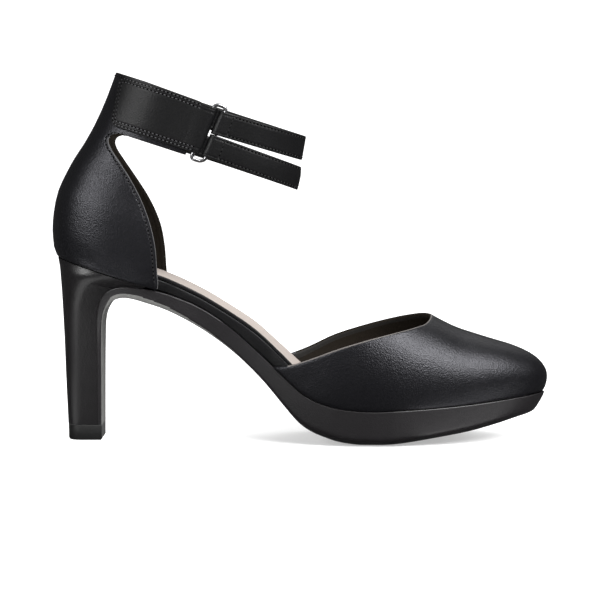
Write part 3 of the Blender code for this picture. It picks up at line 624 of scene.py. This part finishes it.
def fill_grid(bm, grid, taped):
    """Faces over rows of points; the first columns are marked as taped."""
    rows = [[bm.verts.new(p) for p in metres(row)] for row in grid]
    for row, after in zip(rows, rows[1:]):
        for i in range(len(row) - 1):
            face = bm.faces.new((row[i], row[i + 1], after[i + 1], after[i]))
            face.material_index = INNER_TAPE if i < taped else OUTER


def press_creases(bm, creases):
    for x, y, z, run_x, run_y, run_z, half_length, half_width, height in creases:
        middle = Vector(metres((x, y, z)))
        run = Vector((run_x, run_y, run_z)).normalized()
        for vert in bm.verts:
            gap = (vert.co - middle) / MM
            if gap.length > CREASE_REACH * half_length:
                continue
            along = gap.dot(run)
            across = (gap - run * along).length
            weight = math.exp(-((along / half_length) ** 2) - (across / half_width) ** 2)
            vert.co += vert.normal * height * weight * MM


def turn_outward(bm, point):
    """Turns the faces so that the nearest one looks to the point."""
    bmesh.ops.recalc_face_normals(bm, faces=bm.faces)
    point = Vector(metres(point))
    near = min(bm.faces, key=lambda face: (face.calc_center_median() - point).length)
    if near.normal.dot(point - near.calc_center_median()) < 0:
        bmesh.ops.reverse_faces(bm, faces=bm.faces)
    bm.normal_update()


def border_ways(border):
    """For each vertex of an open border, the direction out of the sheet."""
    away = {vert: Vector() for edge in border for vert in edge.verts}
    for edge in border:
        middle = (edge.verts[0].co + edge.verts[1].co) / 2
        run = (edge.verts[1].co - edge.verts[0].co).normalized()
        out = middle - edge.link_faces[0].calc_center_median()
        out = (out - run * out.dot(run)).normalized()
        for vert in edge.verts:
            away[vert] += out
    return away


def thick(name, grids, wall, materials, outward, node, creases=(), rim_shade=None,
          rim_round=RIM_ROUND, taped=0):
    """Leather with an outer face over the grids, an inner face and a rounded rim.

    Materials are those of the outer face, rim, inner face and tape; rim_shade picks one for a rim place."""
    bm = bmesh.new()
    for grid in grids:
        fill_grid(bm, grid, taped)
    bmesh.ops.remove_doubles(bm, verts=bm.verts, dist=MERGE)
    turn_outward(bm, outward)
    press_creases(bm, creases)
    bm.normal_update()
    border = [edge for edge in bm.edges if edge.is_boundary]
    away = border_ways(border)
    sheet = [(face, tuple(loop.vert for loop in face.loops)) for face in bm.faces]
    sides = [(edge.link_loops[0].vert, edge.link_loops[0].link_loop_next.vert) for edge in border]
    inner = {vert: bm.verts.new(vert.co - vert.normal * wall * MM) for vert in list(bm.verts)}
    for face, corners in sheet:
        made = bm.faces.new([inner[vert] for vert in reversed(corners)])
        made.material_index = max(face.material_index, INNER)
        face.material_index = OUTER
    rims = []
    for depth in RIM_DEPTHS:
        rims.append({
            vert: bm.verts.new(vert.co.lerp(inner[vert].co, depth) + out.normalized() * rim_round * MM)
            for vert, out in away.items()
        })
    for a, b in sides:
        middle = (a.co + b.co) / 2 / MM + Vector(BOX_MIDDLE)
        shade = rim_shade(middle) if rim_shade else RIM
        ladder = [(a, b), (rims[0][a], rims[0][b]), (rims[1][a], rims[1][b]), (inner[a], inner[b])]
        for (a1, b1), (a2, b2) in zip(ladder, ladder[1:]):
            made = bm.faces.new((b1, a1, a2, b2))
            made.material_index = shade
            # Only the rim's outer strip takes RIM, which on the vamp and quarter is a painted highlight; the
            # rest takes the lining
            if rim_shade and shade == RIM:
                shade = INNER
    show(name, bm, materials, node)


def loft(name, sections, first_cap, last_cap, materials, node, shade=None):
    """Solid through closed sections; shade picks the material by section, point and count of points."""
    bm = bmesh.new()
    rings = [[bm.verts.new(p) for p in metres(section)] for section in sections]
    for k, (ring, after) in enumerate(zip(rings, rings[1:])):
        for i in range(len(ring)):
            j = (i + 1) % len(ring)
            face = bm.faces.new((ring[i], ring[j], after[j], after[i]))
            face.material_index = shade(k, i, len(ring)) if shade else 0
    for ring, capped in ((rings[0], first_cap), (rings[-1], last_cap)):
        if capped:
            last = len(ring) - 1
            for i in range(len(ring) // 2):
                corners = dict.fromkeys([ring[i], ring[i + 1], ring[last - i - 1], ring[last - i]])
                if len(corners) > 2:
                    bm.faces.new(list(corners))
    bmesh.ops.remove_doubles(bm, verts=bm.verts, dist=MERGE)
    bmesh.ops.recalc_face_normals(bm, faces=bm.faces)
    show(name, bm, materials, node)


def add_bead(bm, start, stop, up, radius, material_index):
    """Thread bead from start to stop, half sunk in the leather."""
    side = (stop - start).cross(up).normalized()
    rings = []
    for share, size in BEAD_PROFILE:
        centre = start.lerp(stop, share) + up * radius * MM * (BEAD_LIFT * size - BEAD_SINK)
        ring = []
        for turn in np.arange(BEAD_SIDES) * 2 * math.pi / BEAD_SIDES:
            way = side * math.cos(turn) + up * math.sin(turn)
            ring.append(bm.verts.new(centre + way * radius * size * MM))
        rings.append(ring)
    made = [bm.faces.new(list(reversed(rings[0]))), bm.faces.new(rings[-1])]
    for ring, after in zip(rings, rings[1:]):
        for i in range(BEAD_SIDES):
            j = (i + 1) % BEAD_SIDES
            made.append(bm.faces.new((ring[i], ring[j], after[j], after[i])))
    for face in made:
        face.material_index = material_index


def stitch_row(bm, points, normals):
    """Thread beads along a line on the leather, with a near-black bead between each two as painted shade of
    the stitch holes.
    """
    points, normals = metres(points), np.asarray(normals, float)
    spots = run_lengths(points)
    count = max(int(spots[-1] / (STITCH_PITCH * MM)), 1)

    def at(spot, values):
        return Vector(points_at(values, spots, [spot])[0])

    for k in range(2 * count):
        middle = (k + 0.5) * spots[-1] / (2 * count)
        length, radius = (HOLE_LENGTH, HOLE_RADIUS) if k % 2 else (STITCH_LENGTH, THREAD_RADIUS)
        start = at(middle - length * MM / 2, points)
        stop = at(middle + length * MM / 2, points)
        add_bead(bm, start, stop, at(middle, normals).normalized(), radius, k % 2)


def finish_stitches(name, bm, materials):
    bmesh.ops.recalc_face_normals(bm, faces=bm.faces)
    show(name, bm, materials, None)


def bed_sections(more, low, high, dish, rounding):
    """Sections of a layer on the sole; its edges are rounded and its middle is dished."""
    outer, inner = outline(more)
    turns = np.linspace(0, math.pi / 2, BED_EDGE_POINTS)
    sections = []
    for a, b, bed in zip(outer, inner, STATION_BED[::BED_EVERY]):
        half = np.hypot(*(b - a)) / 2
        edge, foot = (min(size, half * BED_ROUND_SHARE) for size in rounding)
        across = (b - a) / (2 * half) if half > TINY else np.zeros(2)
        hollow = dish * min(half / BED_FULL_DISH_HALF, 1.0)
        steps = [(foot * (1 - math.sin(t)), low(bed) + foot * (1 - math.cos(t))) for t in turns]
        steps += [(edge * (1 - math.cos(t)), high(bed) - edge * (1 - math.sin(t))) for t in turns]
        ring = [(*(a + across * d), seam((a + across * d)[0]) + h) for d, h in steps]
        for share in np.linspace(-1, 1, BED_MIDDLE_POINTS)[1:-1]:
            at = (a + b) / 2 + across * share * (half - edge)
            ring.append((*at, seam(at[0]) + high(bed) - hollow * (1 - share**2)))
        ring += [(*(b - across * d), seam((b - across * d)[0]) + h) for d, h in reversed(steps)]
        sections.append(ring)
    return sections


def make_bed(leather, sock):
    board_drop = INSOLE_THICKNESS + GAP
    footbed = bed_sections(0.0, lambda bed: GAP, lambda bed: bed - board_drop, 0.0, FOOTBED_ROUNDING)
    loft("footbed_edge", footbed, False, False, [leather], "footbed")
    insole = bed_sections(INSOLE_INSET, lambda bed: bed - INSOLE_THICKNESS, lambda bed: bed, INSOLE_DISH,
                          INSOLE_ROUNDING)

    def shade(section, i, count):
        return int(min(i, count - 2 - i) < 2 * BED_EDGE_POINTS - 2)

    loft("insole_sock", insole, False, False, [sock, leather], "insole", shade)


def fine_sole_section(row):
    """Section of the sole with a finely rounded lower edge."""
    x, drop, low_x, low_z, outer, inner, inset, rise = row
    top_z = seam(x) - max(drop, 0.0)
    low_z = max(low_z, 0.0)
    half = (inner - outer) / 2
    inset = min(inset, SOLE_EDGE_SHARE * half)
    depth = np.hypot(low_x - x, low_z - top_z)
    edge = min(rise / depth, SOLE_EDGE_SHARE)
    plain = 1 - edge
    top_round = min(SOLE_TOP_ROUND / depth, SOLE_TOP_DEPTH_SHARE * plain)
    top_inset = min(SOLE_TOP_ROUND, half * SOLE_TOP_HALF_SHARE)
    side = [(0.0, top_inset), (top_round, 0.0), (2 * top_round, 0.0)]
    side += [(share * plain, 0.0) for share in SOLE_SIDE_SHARES]
    for turn in np.linspace(0, math.pi / 2, SOLE_ARC_POINTS):
        side.append((1 - edge * (1 - math.sin(turn)), inset * (1 - math.cos(turn))))
    points = []
    for share, drawn in side:
        points.append((x + (low_x - x) * share**SOLE_SIDE_POWER, drawn, top_z + (low_z - top_z) * share))
    left = [(px, outer + drawn, pz) for px, drawn, pz in points]
    right = [(px, inner - drawn, pz) for px, drawn, pz in reversed(points)]
    return left + right


def make_sole(cover, rubber):
    x, drop, low_x, low_z, outer, inner, inset, rise = SOLE_ROWS[1]
    toe = (x, drop, low_x, low_z, inner, outer, inset, rise)
    sections = [fine_sole_section(row) for row in smooth(SOLE_ROWS, SOLE_FINE_STEPS, before=toe)]

    def shade(section, i, count):
        bare = np.interp(section / SOLE_FINE_STEPS, *np.array(SOLE_BARE).T)
        return int(count / 2 - 1 - bare <= min(i, count - 2 - i))

    loft("outsole_body", sections, False, True, [cover, rubber], "outsole", shade)


def make_heel(cover, breast, lift, lift_highlight_grey):
    rows = np.array(HEEL_ROWS)
    rows[:, HEEL_BREAST_COLUMN] += HEEL_BREAST_OVER
    rows[HEEL_FLARE_ROW:, HEEL_BREAST_HEIGHT_COLUMN] -= HEEL_BREAST_DOWN
    sections = [heel_ring(row) for row in smooth(rows, HEEL_FINE_STEPS)]
    sections[-1] = [(x, y, seam(x)) for x, y, z in sections[-1]]

    def heel_shade(section, i, count):
        return int(i == count - 1)

    loft("heel_cover", sections, True, True, [cover, breast], "heel", heel_shade)
    sections = [heel_ring(row) for row in (*LIFT_ROWS, LIFT_SHOULDER)]

    # The lift's shoulder strip and breast face take the painted highlight grey
    def lift_shade(section, i, count):
        return int(section == len(LIFT_ROWS) - 1 or i == count - 1)

    loft("heel_tip", sections, True, True, [lift, lift_highlight_grey], "heel_lift", lift_shade)


def make_vamp(leather, edge, lining, tape):
    """Toe cover from outer feather line over the ridge to the inner one, with a tape inside its top edge."""
    drawn_in = dict(FOOT_TURN)
    levels = np.append(list(drawn_in), np.linspace(0, 1, VAMP_FINE_LEVELS)[1:])
    shares = 1 - (1 - np.linspace(0, 1, VAMP_FINE_COLUMNS)) ** VAMP_SPREAD
    grid = []
    for side, run in ((-1, levels), (1, levels[-2::-1])):
        top_levels, places = topline_places(side)
        for level in run:
            start = np.interp(level, top_levels, places)
            row = []
            for place in start + (len(STATION) - 1 - start) * shares:
                point = np.array(vamp_point(place, level, side))
                inward = np.array(vamp_point(place, 0.5, side)) - point
                inward[2] = 0.0
                row.append(point + inward / np.linalg.norm(inward) * drawn_in.get(level, 0.0))
            grid.append(row)

    # The near side's top edge takes the pale painted highlight on the outer strip of its rim; the far side's
    # takes the lining
    def rim_shade(at):
        if at.z < seam(at.x) + FOOT_BAND or at.x < TOPLINE[0][0] + TOPLINE_PLAIN:
            return OUTER
        return RIM if at.y < 0 else INNER

    thick("vamp_leather", [grid], VAMP_WALL, [leather, edge, lining, tape], VAMP_OUTWARD, "vamp",
          VAMP_CREASES, rim_shade, TOPLINE_ROUND, TAPE_COLUMNS)


def quarter_columns(reach):
    """Distances from the back: even over the cup, close together at the front edge."""
    near = [reach - d for d in reversed(EDGE_FINE)]
    return np.append(np.linspace(0, near[0], QUARTER_FINE_COLUMNS)[:-1], near)


def quarter_foot(side):
    """Bottom edge of the quarter, along the feather line."""
    kept = STATION[STATION_X <= QUARTER_FRONT_X[side]]
    path = kept[:, [0, 2 if side < 0 else 3, 1]]
    spots = run_lengths(path[:, :2])
    return points_at(path, spots, quarter_columns(spots[-1])) + (0.0, 0.0, GAP)


def quarter_wall():
    """Rows of the quarter below its cuff, and the points and normals of the stitch line on each side."""
    grid = []
    line = {-1: [], 1: []}
    for n, *_, outer_edge, inner_edge in QUARTER_FINE[QUARTER_FINE[:, 0] < CUFF_LOW + TINY]:
        rows = {}
        dent = STITCH_DENT * min((CUFF_LOW - n) / STITCH_DENT_FADE, 1.0)
        for side, front in ((-1, outer_edge), (1, inner_edge)):
            reach = spot_at(front, n)
            rows[side] = []
            for spot in quarter_columns(reach):
                from_line = (reach - spot - QUARTER_STITCH_IN) / STITCH_DENT_WIDTH
                rows[side].append(on_wall(n, spot, side, -dent * math.exp(-(from_line**2))))
            base = on_wall(n, reach - QUARTER_STITCH_IN, side, -dent)
            line[side].append((base, np.subtract(on_wall(n, reach - QUARTER_STITCH_IN, side, 1.0), base)))
        grid.append(rows[-1][:0:-1] + rows[1])
    return grid, line


def turned_foot(first):
    """Rows from the feather line, where the quarter is turned under, to its first row above."""
    foot = np.vstack([quarter_foot(-1)[:0:-1], quarter_foot(1)])
    inward = np.array([QUARTER_MIDDLE_X, 0.0]) - foot[:, :2]
    inward /= np.linalg.norm(inward, axis=1, keepdims=True)
    rows = []
    for share, drawn in QUARTER_FOOT_TURN:
        row = foot + (np.array(first) - foot) * share
        row[:, :2] += inward * drawn
        rows.append(row)
    return rows


def cuff_wall(reach, spots):
    """Rows of the cuff, which starts from the neck at reach and has points at the spots of each side."""
    grid = []
    for level in np.linspace(0, 1, CUFF_FINE_LEVELS):
        rows = {}
        for side, places in spots.items():
            rows[side] = [on_wall(cuff_height(level, s, reach, places[-1]), s, side) for s in places]
        grid.append(rows[-1][:0:-1] + rows[1])
    return grid


def make_quarter(leather, edge, lining, stitching):
    grid, line = quarter_wall()
    reach = spot_at(QUARTER_ROWS[-1][-1], CUFF_LOW)
    middle = quarter_columns(reach)
    spots = {}
    for side, end in ((-1, CUFF_OUTER_END), (1, CUFF_INNER_END)):
        spots[side] = np.append(middle, np.linspace(reach, spot_at(end, RING_N), CUFF_END_POINTS)[1:])

    # The front edge below FRONT_EDGE_TOP takes the grey painted highlight on the outer strip of its rim; the
    # cuff's edges take the lining
    def rim_shade(at):
        over_seat = (at.x - SEAT_BACK_X) * math.sin(SEAT_PITCH) + (at.z - SEAT_BACK_Z) * math.cos(SEAT_PITCH)
        if at.z < seam(at.x) + FOOT_BAND:
            return OUTER
        return RIM if over_seat < FRONT_EDGE_TOP else INNER

    grids = [turned_foot(grid[0]) + grid, cuff_wall(reach, spots)]
    thick("quarter_leather", grids, QUARTER_WALL, [leather, edge, lining], QUARTER_OUTWARD, "quarter",
          QUARTER_CREASES, rim_shade)
    bm = bmesh.new()
    high_row, low_row = CUFF_HIGH - CUFF_STITCH_IN, CUFF_LOW + CUFF_STITCH_IN
    to_tab = middle[middle < spot_at(TAB_END_U, RING_N) - CUFF_STITCH_MARGIN]
    past_neck = spots[1][spots[1] > reach + CUFF_STITCH_MARGIN]
    cuff_rows = {-1: [(high_row, to_tab)], 1: [(high_row, spots[1]), (low_row, past_neck)]}
    for side, rows in cuff_rows.items():
        stitch_row(bm, *zip(*line[side]))
        for n, kept in rows:
            points = [on_wall(n, s, side) for s in kept]
            stitch_row(bm, points, np.subtract([on_wall(n, s, side, 1.0) for s in kept], points))
    finish_stitches("quarter_stitches", bm, stitching)


def strip(name, path, leans, low, high, stitch_lines, materials, outward, node):
    """Folded strip of leather with sunk stitch lines at the given distances from both edges."""
    run = np.gradient(path, axis=0)
    turns = np.arctan2(run[:, 0], -run[:, 1])
    tall = max(np.subtract(high, low))
    near = [d for d in EDGE_FINE if d < tall / 2 - STRIP_MIDDLE_ROOM]
    gaps = near + list(np.linspace(near[-1], tall / 2, STRIP_MIDDLE_POINTS)[1:])
    shares = np.array(gaps) / tall
    shares = np.append(shares, 1 - shares[-2::-1])
    grid = []
    for (spot, out), turn, lean, bottom, top in zip(path, turns, leans, low, high):
        row = []
        for share in shares:
            gap = min(share, 1 - share) * tall
            dents = [math.exp(-(((gap - line) / STITCH_DENT_WIDTH) ** 2)) for line in stitch_lines]
            round_off = STRIP_ROUND * max(1 - gap / STRIP_ROUND_WIDTH, 0.0) ** 2
            face = STRAP_THICKNESS / 2 - STITCH_DENT * sum(dents) - round_off
            n = bottom + (top - bottom) * share
            row.append(leaning(n, spot + face * math.cos(turn), lean, out + face * math.sin(turn)))
        grid.append(row)
    thick(name, [grid], STRAP_THICKNESS, materials, outward, node)


def even(points, pitch):
    """The folded line as even steps."""
    spots = run_lengths(points)
    return points_at(points, spots, np.linspace(0, spots[-1], int(spots[-1] / pitch) + 1))


def strip_stitches(name, upper, rows, stitching):
    """Stitches along rows of (spot, n, lean) places on the upper layer of a strip."""
    upper = upper[np.argsort(upper[:, 0])]
    bm = bmesh.new()
    for places in rows:
        points = []
        normals = []
        for spot, n, lean in places:
            out = np.interp(spot, *upper.T) + STRAP_THICKNESS / 2 - STITCH_DENT
            points.append(leaning(n, spot, lean, out))
            normals.append(np.subtract(leaning(n, spot, lean, out + 1.0), points[-1]))
        stitch_row(bm, points, normals)
    finish_stitches(name, bm, stitching)


def make_tab(leather, edge, stitching):
    ring = spot_at(RING_U, RING_N)
    end = spot_at(TAB_END_U, RING_N)
    first = ring + TAB_OUTER[0][0]
    run = [(spot, TAB_OUTER[0][1]) for spot in np.linspace(end, first, TAB_END_POINTS)[:-1]]
    folded = [*TAB_OUTER, *fold_round(-RING_BAR_REACH, math.pi / 2), *TAB_INNER]
    run += [(ring + away, out) for away, out in folded]
    path = even(smooth(run, TAB_PATH_STEPS), TAB_STEP)

    def top(spot):
        return np.interp(spot - ring, TAB_NARROWING, (TAB_HIGH, TAB_RING_HIGH))

    rounding = [max(TAB_CORNER - (spot - end), 0.0) for spot, out in path]
    drawn = [TAB_CORNER - math.sqrt(TAB_CORNER**2 - r**2) for r in rounding]

    def lean(spot):
        return np.interp(spot, (end, ring), (TAB_END_LEAN, 1.0))

    leans = [lean(spot) for spot, out in path]
    low = [TAB_LOW + d for d in drawn]
    high = [top(spot) - d for (spot, out), d in zip(path, drawn)]
    strip("closure_tab_leather", path, leans, low, high, TAB_STITCH_LINES, [leather, edge, leather],
          on_wall(RING_N, end, -1, TAB_OUTWARD), "closure_tab")
    rows = []
    front_high, front_low = (ring + away for away in TAB_STITCH_FRONTS)
    turns = np.linspace(0, math.pi / 2, TAB_STITCH_TURN_POINTS)
    for inset in TAB_STITCH_LINES:
        corner = TAB_CORNER - inset
        upper = np.linspace(front_high, end + TAB_CORNER, TAB_STITCH_POINTS)
        lower = np.linspace(end + TAB_CORNER, front_low, TAB_STITCH_POINTS)
        places = [(s, top(s) - inset) for s in upper]
        arc = [(end + TAB_CORNER - corner * math.sin(t), TAB_CORNER - corner * math.cos(t)) for t in turns]
        places += [(s, TAB_HIGH - d) for s, d in arc[1:]]
        places += [(s, TAB_LOW + d) for s, d in reversed(arc)]
        places += [(s, TAB_LOW + inset) for s in lower[1:]]
        rows.append([(s, n, lean(s)) for s, n in places])
    strip_stitches("closure_tab_stitches", path[path[:, 1] > 0.0], rows, stitching)


def make_strap(name, at_ring, at_front, leather, edge, stitching):
    ring = spot_at(RING_U, RING_N)
    inner_end = 2 * HALF_LOOP - spot_at(CUFF_INNER_END, RING_N)
    folded = [*STRAP_TAIL, *fold_round(RING_BAR_REACH, -math.pi / 2), *STRAP_RUN]
    run = [(ring + away, out) for away, out in folded]
    plain = STRAP_RUN[-1][1]
    run += [(s, plain) for s in np.linspace(run[-1][0], inner_end - STRAP_LAP, STRAP_POINTS)[1:]]
    for share in STRAP_LAP_SHARES:
        ease = share * share * (3 - 2 * share)
        run.append((inner_end - STRAP_LAP * (1 - share), plain + (STRAP_LAP_OUT - plain) * ease))
    run += [(inner_end + share * STRAP_LAP, STRAP_LAP_OUT) for share in STRAP_END_SHARES]
    path = even(smooth(run, STRAP_PATH_STEPS), STRAP_STEP)

    def bounds(spot):
        front = min(max((spot - ring) / (HALF_LOOP - ring), 0.0), 1.0)
        low, high = (a + (b - a) * front for a, b in zip(at_ring, at_front))
        return low, high, 1 - front

    low, high, leans = (list(values) for values in zip(*(bounds(spot) for spot, out in path)))
    strip(name + "_leather", path, leans, low, high, (STRAP_STITCH_LINE,), [leather, edge, leather],
          on_wall(RING_N, ring + STRAP_OUTWARD_SPOT, -1, STRAP_OUTWARD), name)
    over_tail = path[:, 1] > STRAP_TAIL[0][1] + STRAP_TAIL_CLEAR
    past_fold = path[:, 0] > ring + RING_BAR_REACH + STRAP_FOLD_CLEAR
    upper = path[over_tail & past_fold]
    start = ring + STRAP_STITCH_START
    low_row, high_row = [], []
    for spot in np.linspace(start, inner_end - STRAP_LAP, STRAP_STITCH_POINTS):
        bottom, top, lean = bounds(spot)
        low_row.append((spot, bottom + STRAP_STITCH_LINE, lean))
        high_row.append((spot, top - STRAP_STITCH_LINE, lean))
    bottom, top, lean = bounds(start)
    across = np.linspace(bottom + STRAP_STITCH_LINE, top - STRAP_STITCH_LINE, STRAP_CROSS_POINTS)
    rows = (low_row, high_row, [(start, n, lean) for n in across])
    strip_stitches(name + "_stitches", upper, rows, stitching)


def make_ring(metal):
    """Wire ring, swept round its rounded rectangle."""
    middle = spot_at(RING_U, RING_N)
    half_height = (RING_HEIGHT - RING_WIRE) / 2
    sections = []
    for quarter in range(4):
        toward = 1 if quarter in (0, 3) else -1
        up = 1 if quarter < 2 else -1
        for turn in np.linspace(0, math.pi / 2, RING_FINE_POINTS) + quarter * math.pi / 2:
            section = []
            for round_wire in np.arange(RING_SIDES) * 2 * math.pi / RING_SIDES:
                reach = RING_CORNER + RING_WIRE / 2 * math.cos(round_wire)
                along = toward * (RING_BAR_REACH - RING_CORNER) + reach * math.cos(turn)
                n = RING_N + up * (half_height - RING_CORNER) + reach * math.sin(turn)
                out = RING_OUT + RING_WIRE / 2 * math.sin(round_wire)
                section.append(leaning(n, middle + along, 1, out))
            sections.append(section)
    sections.append(sections[0])
    loft("ring_wire", sections, False, False, [metal], "ring")


def set_inputs(node, values):
    for name, value in values.items():
        node.inputs[name].default_value = value


def principled(name, colour, roughness, specular, metallic=0.0):
    material = bpy.data.materials.new(name)
    material.use_nodes = True
    set_inputs(material.node_tree.nodes["Principled BSDF"], {
        "Base Color": (*colour, 1.0),
        "Roughness": roughness,
        "Metallic": metallic,
        "Specular IOR Level": specular,
    })
    return material


def add_node(material, kind, values):
    node = material.node_tree.nodes.new("ShaderNode" + kind)
    set_inputs(node, values)
    return node


def grained(name, colour, roughness, grain, depth, spread, specular, metallic=0.0):
    """Pebbled grain of so many cells per metre and so deep in mm, with uneven gloss and tone."""
    material = principled(name, colour, roughness, specular, metallic)
    shader = material.node_tree.nodes["Principled BSDF"]
    link = material.node_tree.links.new
    place = add_node(material, "TexCoord", {})
    cells = add_node(material, "TexVoronoi", {"Scale": grain})
    fine = add_node(material, "TexNoise", {"Scale": grain * FINE_GRAIN_SHARE, "Detail": FINE_GRAIN_DETAIL})
    broad = add_node(material, "TexNoise", {"Scale": BROAD_GRAIN, "Detail": BROAD_GRAIN_DETAIL})
    for texture in (cells, fine, broad):
        link(place.outputs["Object"], texture.inputs["Vector"])
    height = add_node(material, "Math", {1: FINE_GRAIN_WEIGHT})
    height.operation = "MULTIPLY_ADD"
    link(fine.outputs["Fac"], height.inputs[0])
    link(cells.outputs["Distance"], height.inputs[2])
    bump = add_node(material, "Bump", {"Strength": GRAIN_STRENGTH, "Distance": depth * MM})
    link(height.outputs[0], bump.inputs["Height"])
    link(bump.outputs["Normal"], shader.inputs["Normal"])
    gloss = add_node(material, "MapRange", {"To Min": roughness - spread, "To Max": roughness + spread})
    link(broad.outputs["Fac"], gloss.inputs["Value"])
    link(gloss.outputs["Result"], shader.inputs["Roughness"])
    tone = add_node(material, "Mix", {})
    tone.data_type = "RGBA"
    set_inputs(tone, {end: (*(share * c for c in colour), 1.0) for end, share in TONE_RANGE.items()})
    link(fine.outputs["Fac"], tone.inputs["Factor"])
    link(tone.outputs["Result"], shader.inputs["Base Color"])
    return material


def glowing_floor_painted_shadow():
    """Pale matte floor whose own glow, painted light, rises with the distance from the shoe; the dim glow
    near the shoe is a painted shadow.
    """
    pale = principled("floor_pale", FLOOR_COLOUR, FLOOR_ROUGHNESS, 0.0)
    shader = pale.node_tree.nodes["Principled BSDF"]
    link = pale.node_tree.links.new
    place = add_node(pale, "TexCoord", {})
    away = add_node(pale, "VectorMath", {})
    away.operation = "LENGTH"
    fade = add_node(pale, "MapRange", FLOOR_GLOW)
    fade.interpolation_type = "SMOOTHSTEP"
    link(place.outputs["Object"], away.inputs[0])
    link(away.outputs["Value"], fade.inputs["Value"])
    set_inputs(shader, {"Emission Color": (1.0, 1.0, 1.0, 1.0)})
    link(fade.outputs["Result"], shader.inputs["Emission Strength"])
    return pale


def make_stage():
    """Seamless pale sweep; only some of the floor near the shoe shows in its gloss."""
    pale = glowing_floor_painted_shadow()
    across = sorted({-FLOOR_SIDE, FLOOR_SIDE, *(x for patch in NEAR_FLOOR for x in patch[:2])})
    along = sorted({FLOOR_FRONT, SWEEP_START, *(y for patch in NEAR_FLOOR for y in patch[2:])})
    profile = [(y, 0.0) for y in along]
    for turn in np.linspace(0, math.pi / 2, SWEEP_POINTS)[1:]:
        profile.append((SWEEP_START + SWEEP_RADIUS * math.sin(turn), SWEEP_RADIUS * (1 - math.cos(turn))))
    profile.append((SWEEP_START + SWEEP_RADIUS, WALL_TOP))

    def is_near(face):
        x, y, z = face.calc_center_median()
        return any(x0 < x < x1 and y0 < y < y1 for x0, x1, y0, y1 in NEAR_FLOOR)

    for name, near in (("floor", False), ("floor_near", True)):
        bm = bmesh.new()
        rows = [[bm.verts.new((x, y, z)) for x in across] for y, z in profile]
        for row, after in zip(rows, rows[1:]):
            for i in range(len(across) - 1):
                bm.faces.new((row[i], row[i + 1], after[i + 1], after[i]))
        bmesh.ops.delete(bm, geom=[face for face in bm.faces if is_near(face) != near], context="FACES")
        floor = add_mesh(name, bm, [pale])
        floor.location = (FLOOR_MIDDLE_X, 0.0, FLOOR_LEVEL)
        floor.visible_glossy = near


def add_aimed(name, data, place, aim):
    """Light or camera at a place, turned to another."""
    made = bpy.data.objects.new(name, data)
    made.location = place
    made.rotation_euler = (Vector(aim) - Vector(place)).to_track_quat("-Z", "Y").to_euler()
    bpy.context.scene.collection.objects.link(made)
    return made


def add_area(name, place, aim, size, power):
    light = bpy.data.lights.new(name, "AREA")
    light.shape = "RECTANGLE"
    light.size, light.size_y = size
    light.energy = power
    add_aimed(name, light, place, aim)


def make_camera():
    camera = bpy.data.cameras.new("camera")
    camera.sensor_width = SENSOR_WIDTH
    camera.lens = LENS
    bpy.context.scene.camera = add_aimed("camera", camera, metres(CAMERA_PLACE), metres(CAMERA_AIM))


def main():
    looks = {row[0]: grained(*row) for row in LOOKS}
    leather = looks["black_leather"]
    set_inputs(leather.node_tree.nodes["Principled BSDF"], {"Specular Tint": (*LEATHER_TINT, 1.0)})
    strap_leather = looks["strap_leather"]
    dark_edge = looks["cut_edge_dark"]
    lining = looks["lining_dark"]
    # Near-black beads as painted shade of the stitch holes
    hole = looks["stitch_hole_painted_shade"]
    dark_stitching = [looks["thread_black"], hole]

    make_sole(looks["platform_cover"], looks["sole_bare"])
    make_heel(looks["heel_wrap"], looks["sole_bare"], looks["lift_black"], looks["lift_painted_highlight"])
    make_bed(strap_leather, looks["sock_cream"])
    make_vamp(leather, looks["edge_painted_highlight_pale"], lining, looks["lining_tape"])
    make_quarter(leather, looks["edge_painted_highlight_grey"], lining, dark_stitching)
    make_tab(strap_leather, dark_edge, [looks["thread_grey"], hole])
    for name, (at_ring, at_front) in STRAPS.items():
        make_strap(name, at_ring, at_front, strap_leather, dark_edge, dark_stitching)
    make_ring(looks["ring_silver"])
    make_stage()
    make_camera()
    for name, place, aim, size, power in LIGHTS:
        add_area(name, place, aim, size, power)
    world = bpy.data.worlds.new("studio")
    world.use_nodes = True
    glow = {"Color": (1.0, 1.0, 1.0, 1.0), "Strength": WORLD_GLOW}
    set_inputs(world.node_tree.nodes["Background"], glow)
    bpy.context.scene.world = world
    bpy.context.scene.view_settings.view_transform = "Standard"


main()
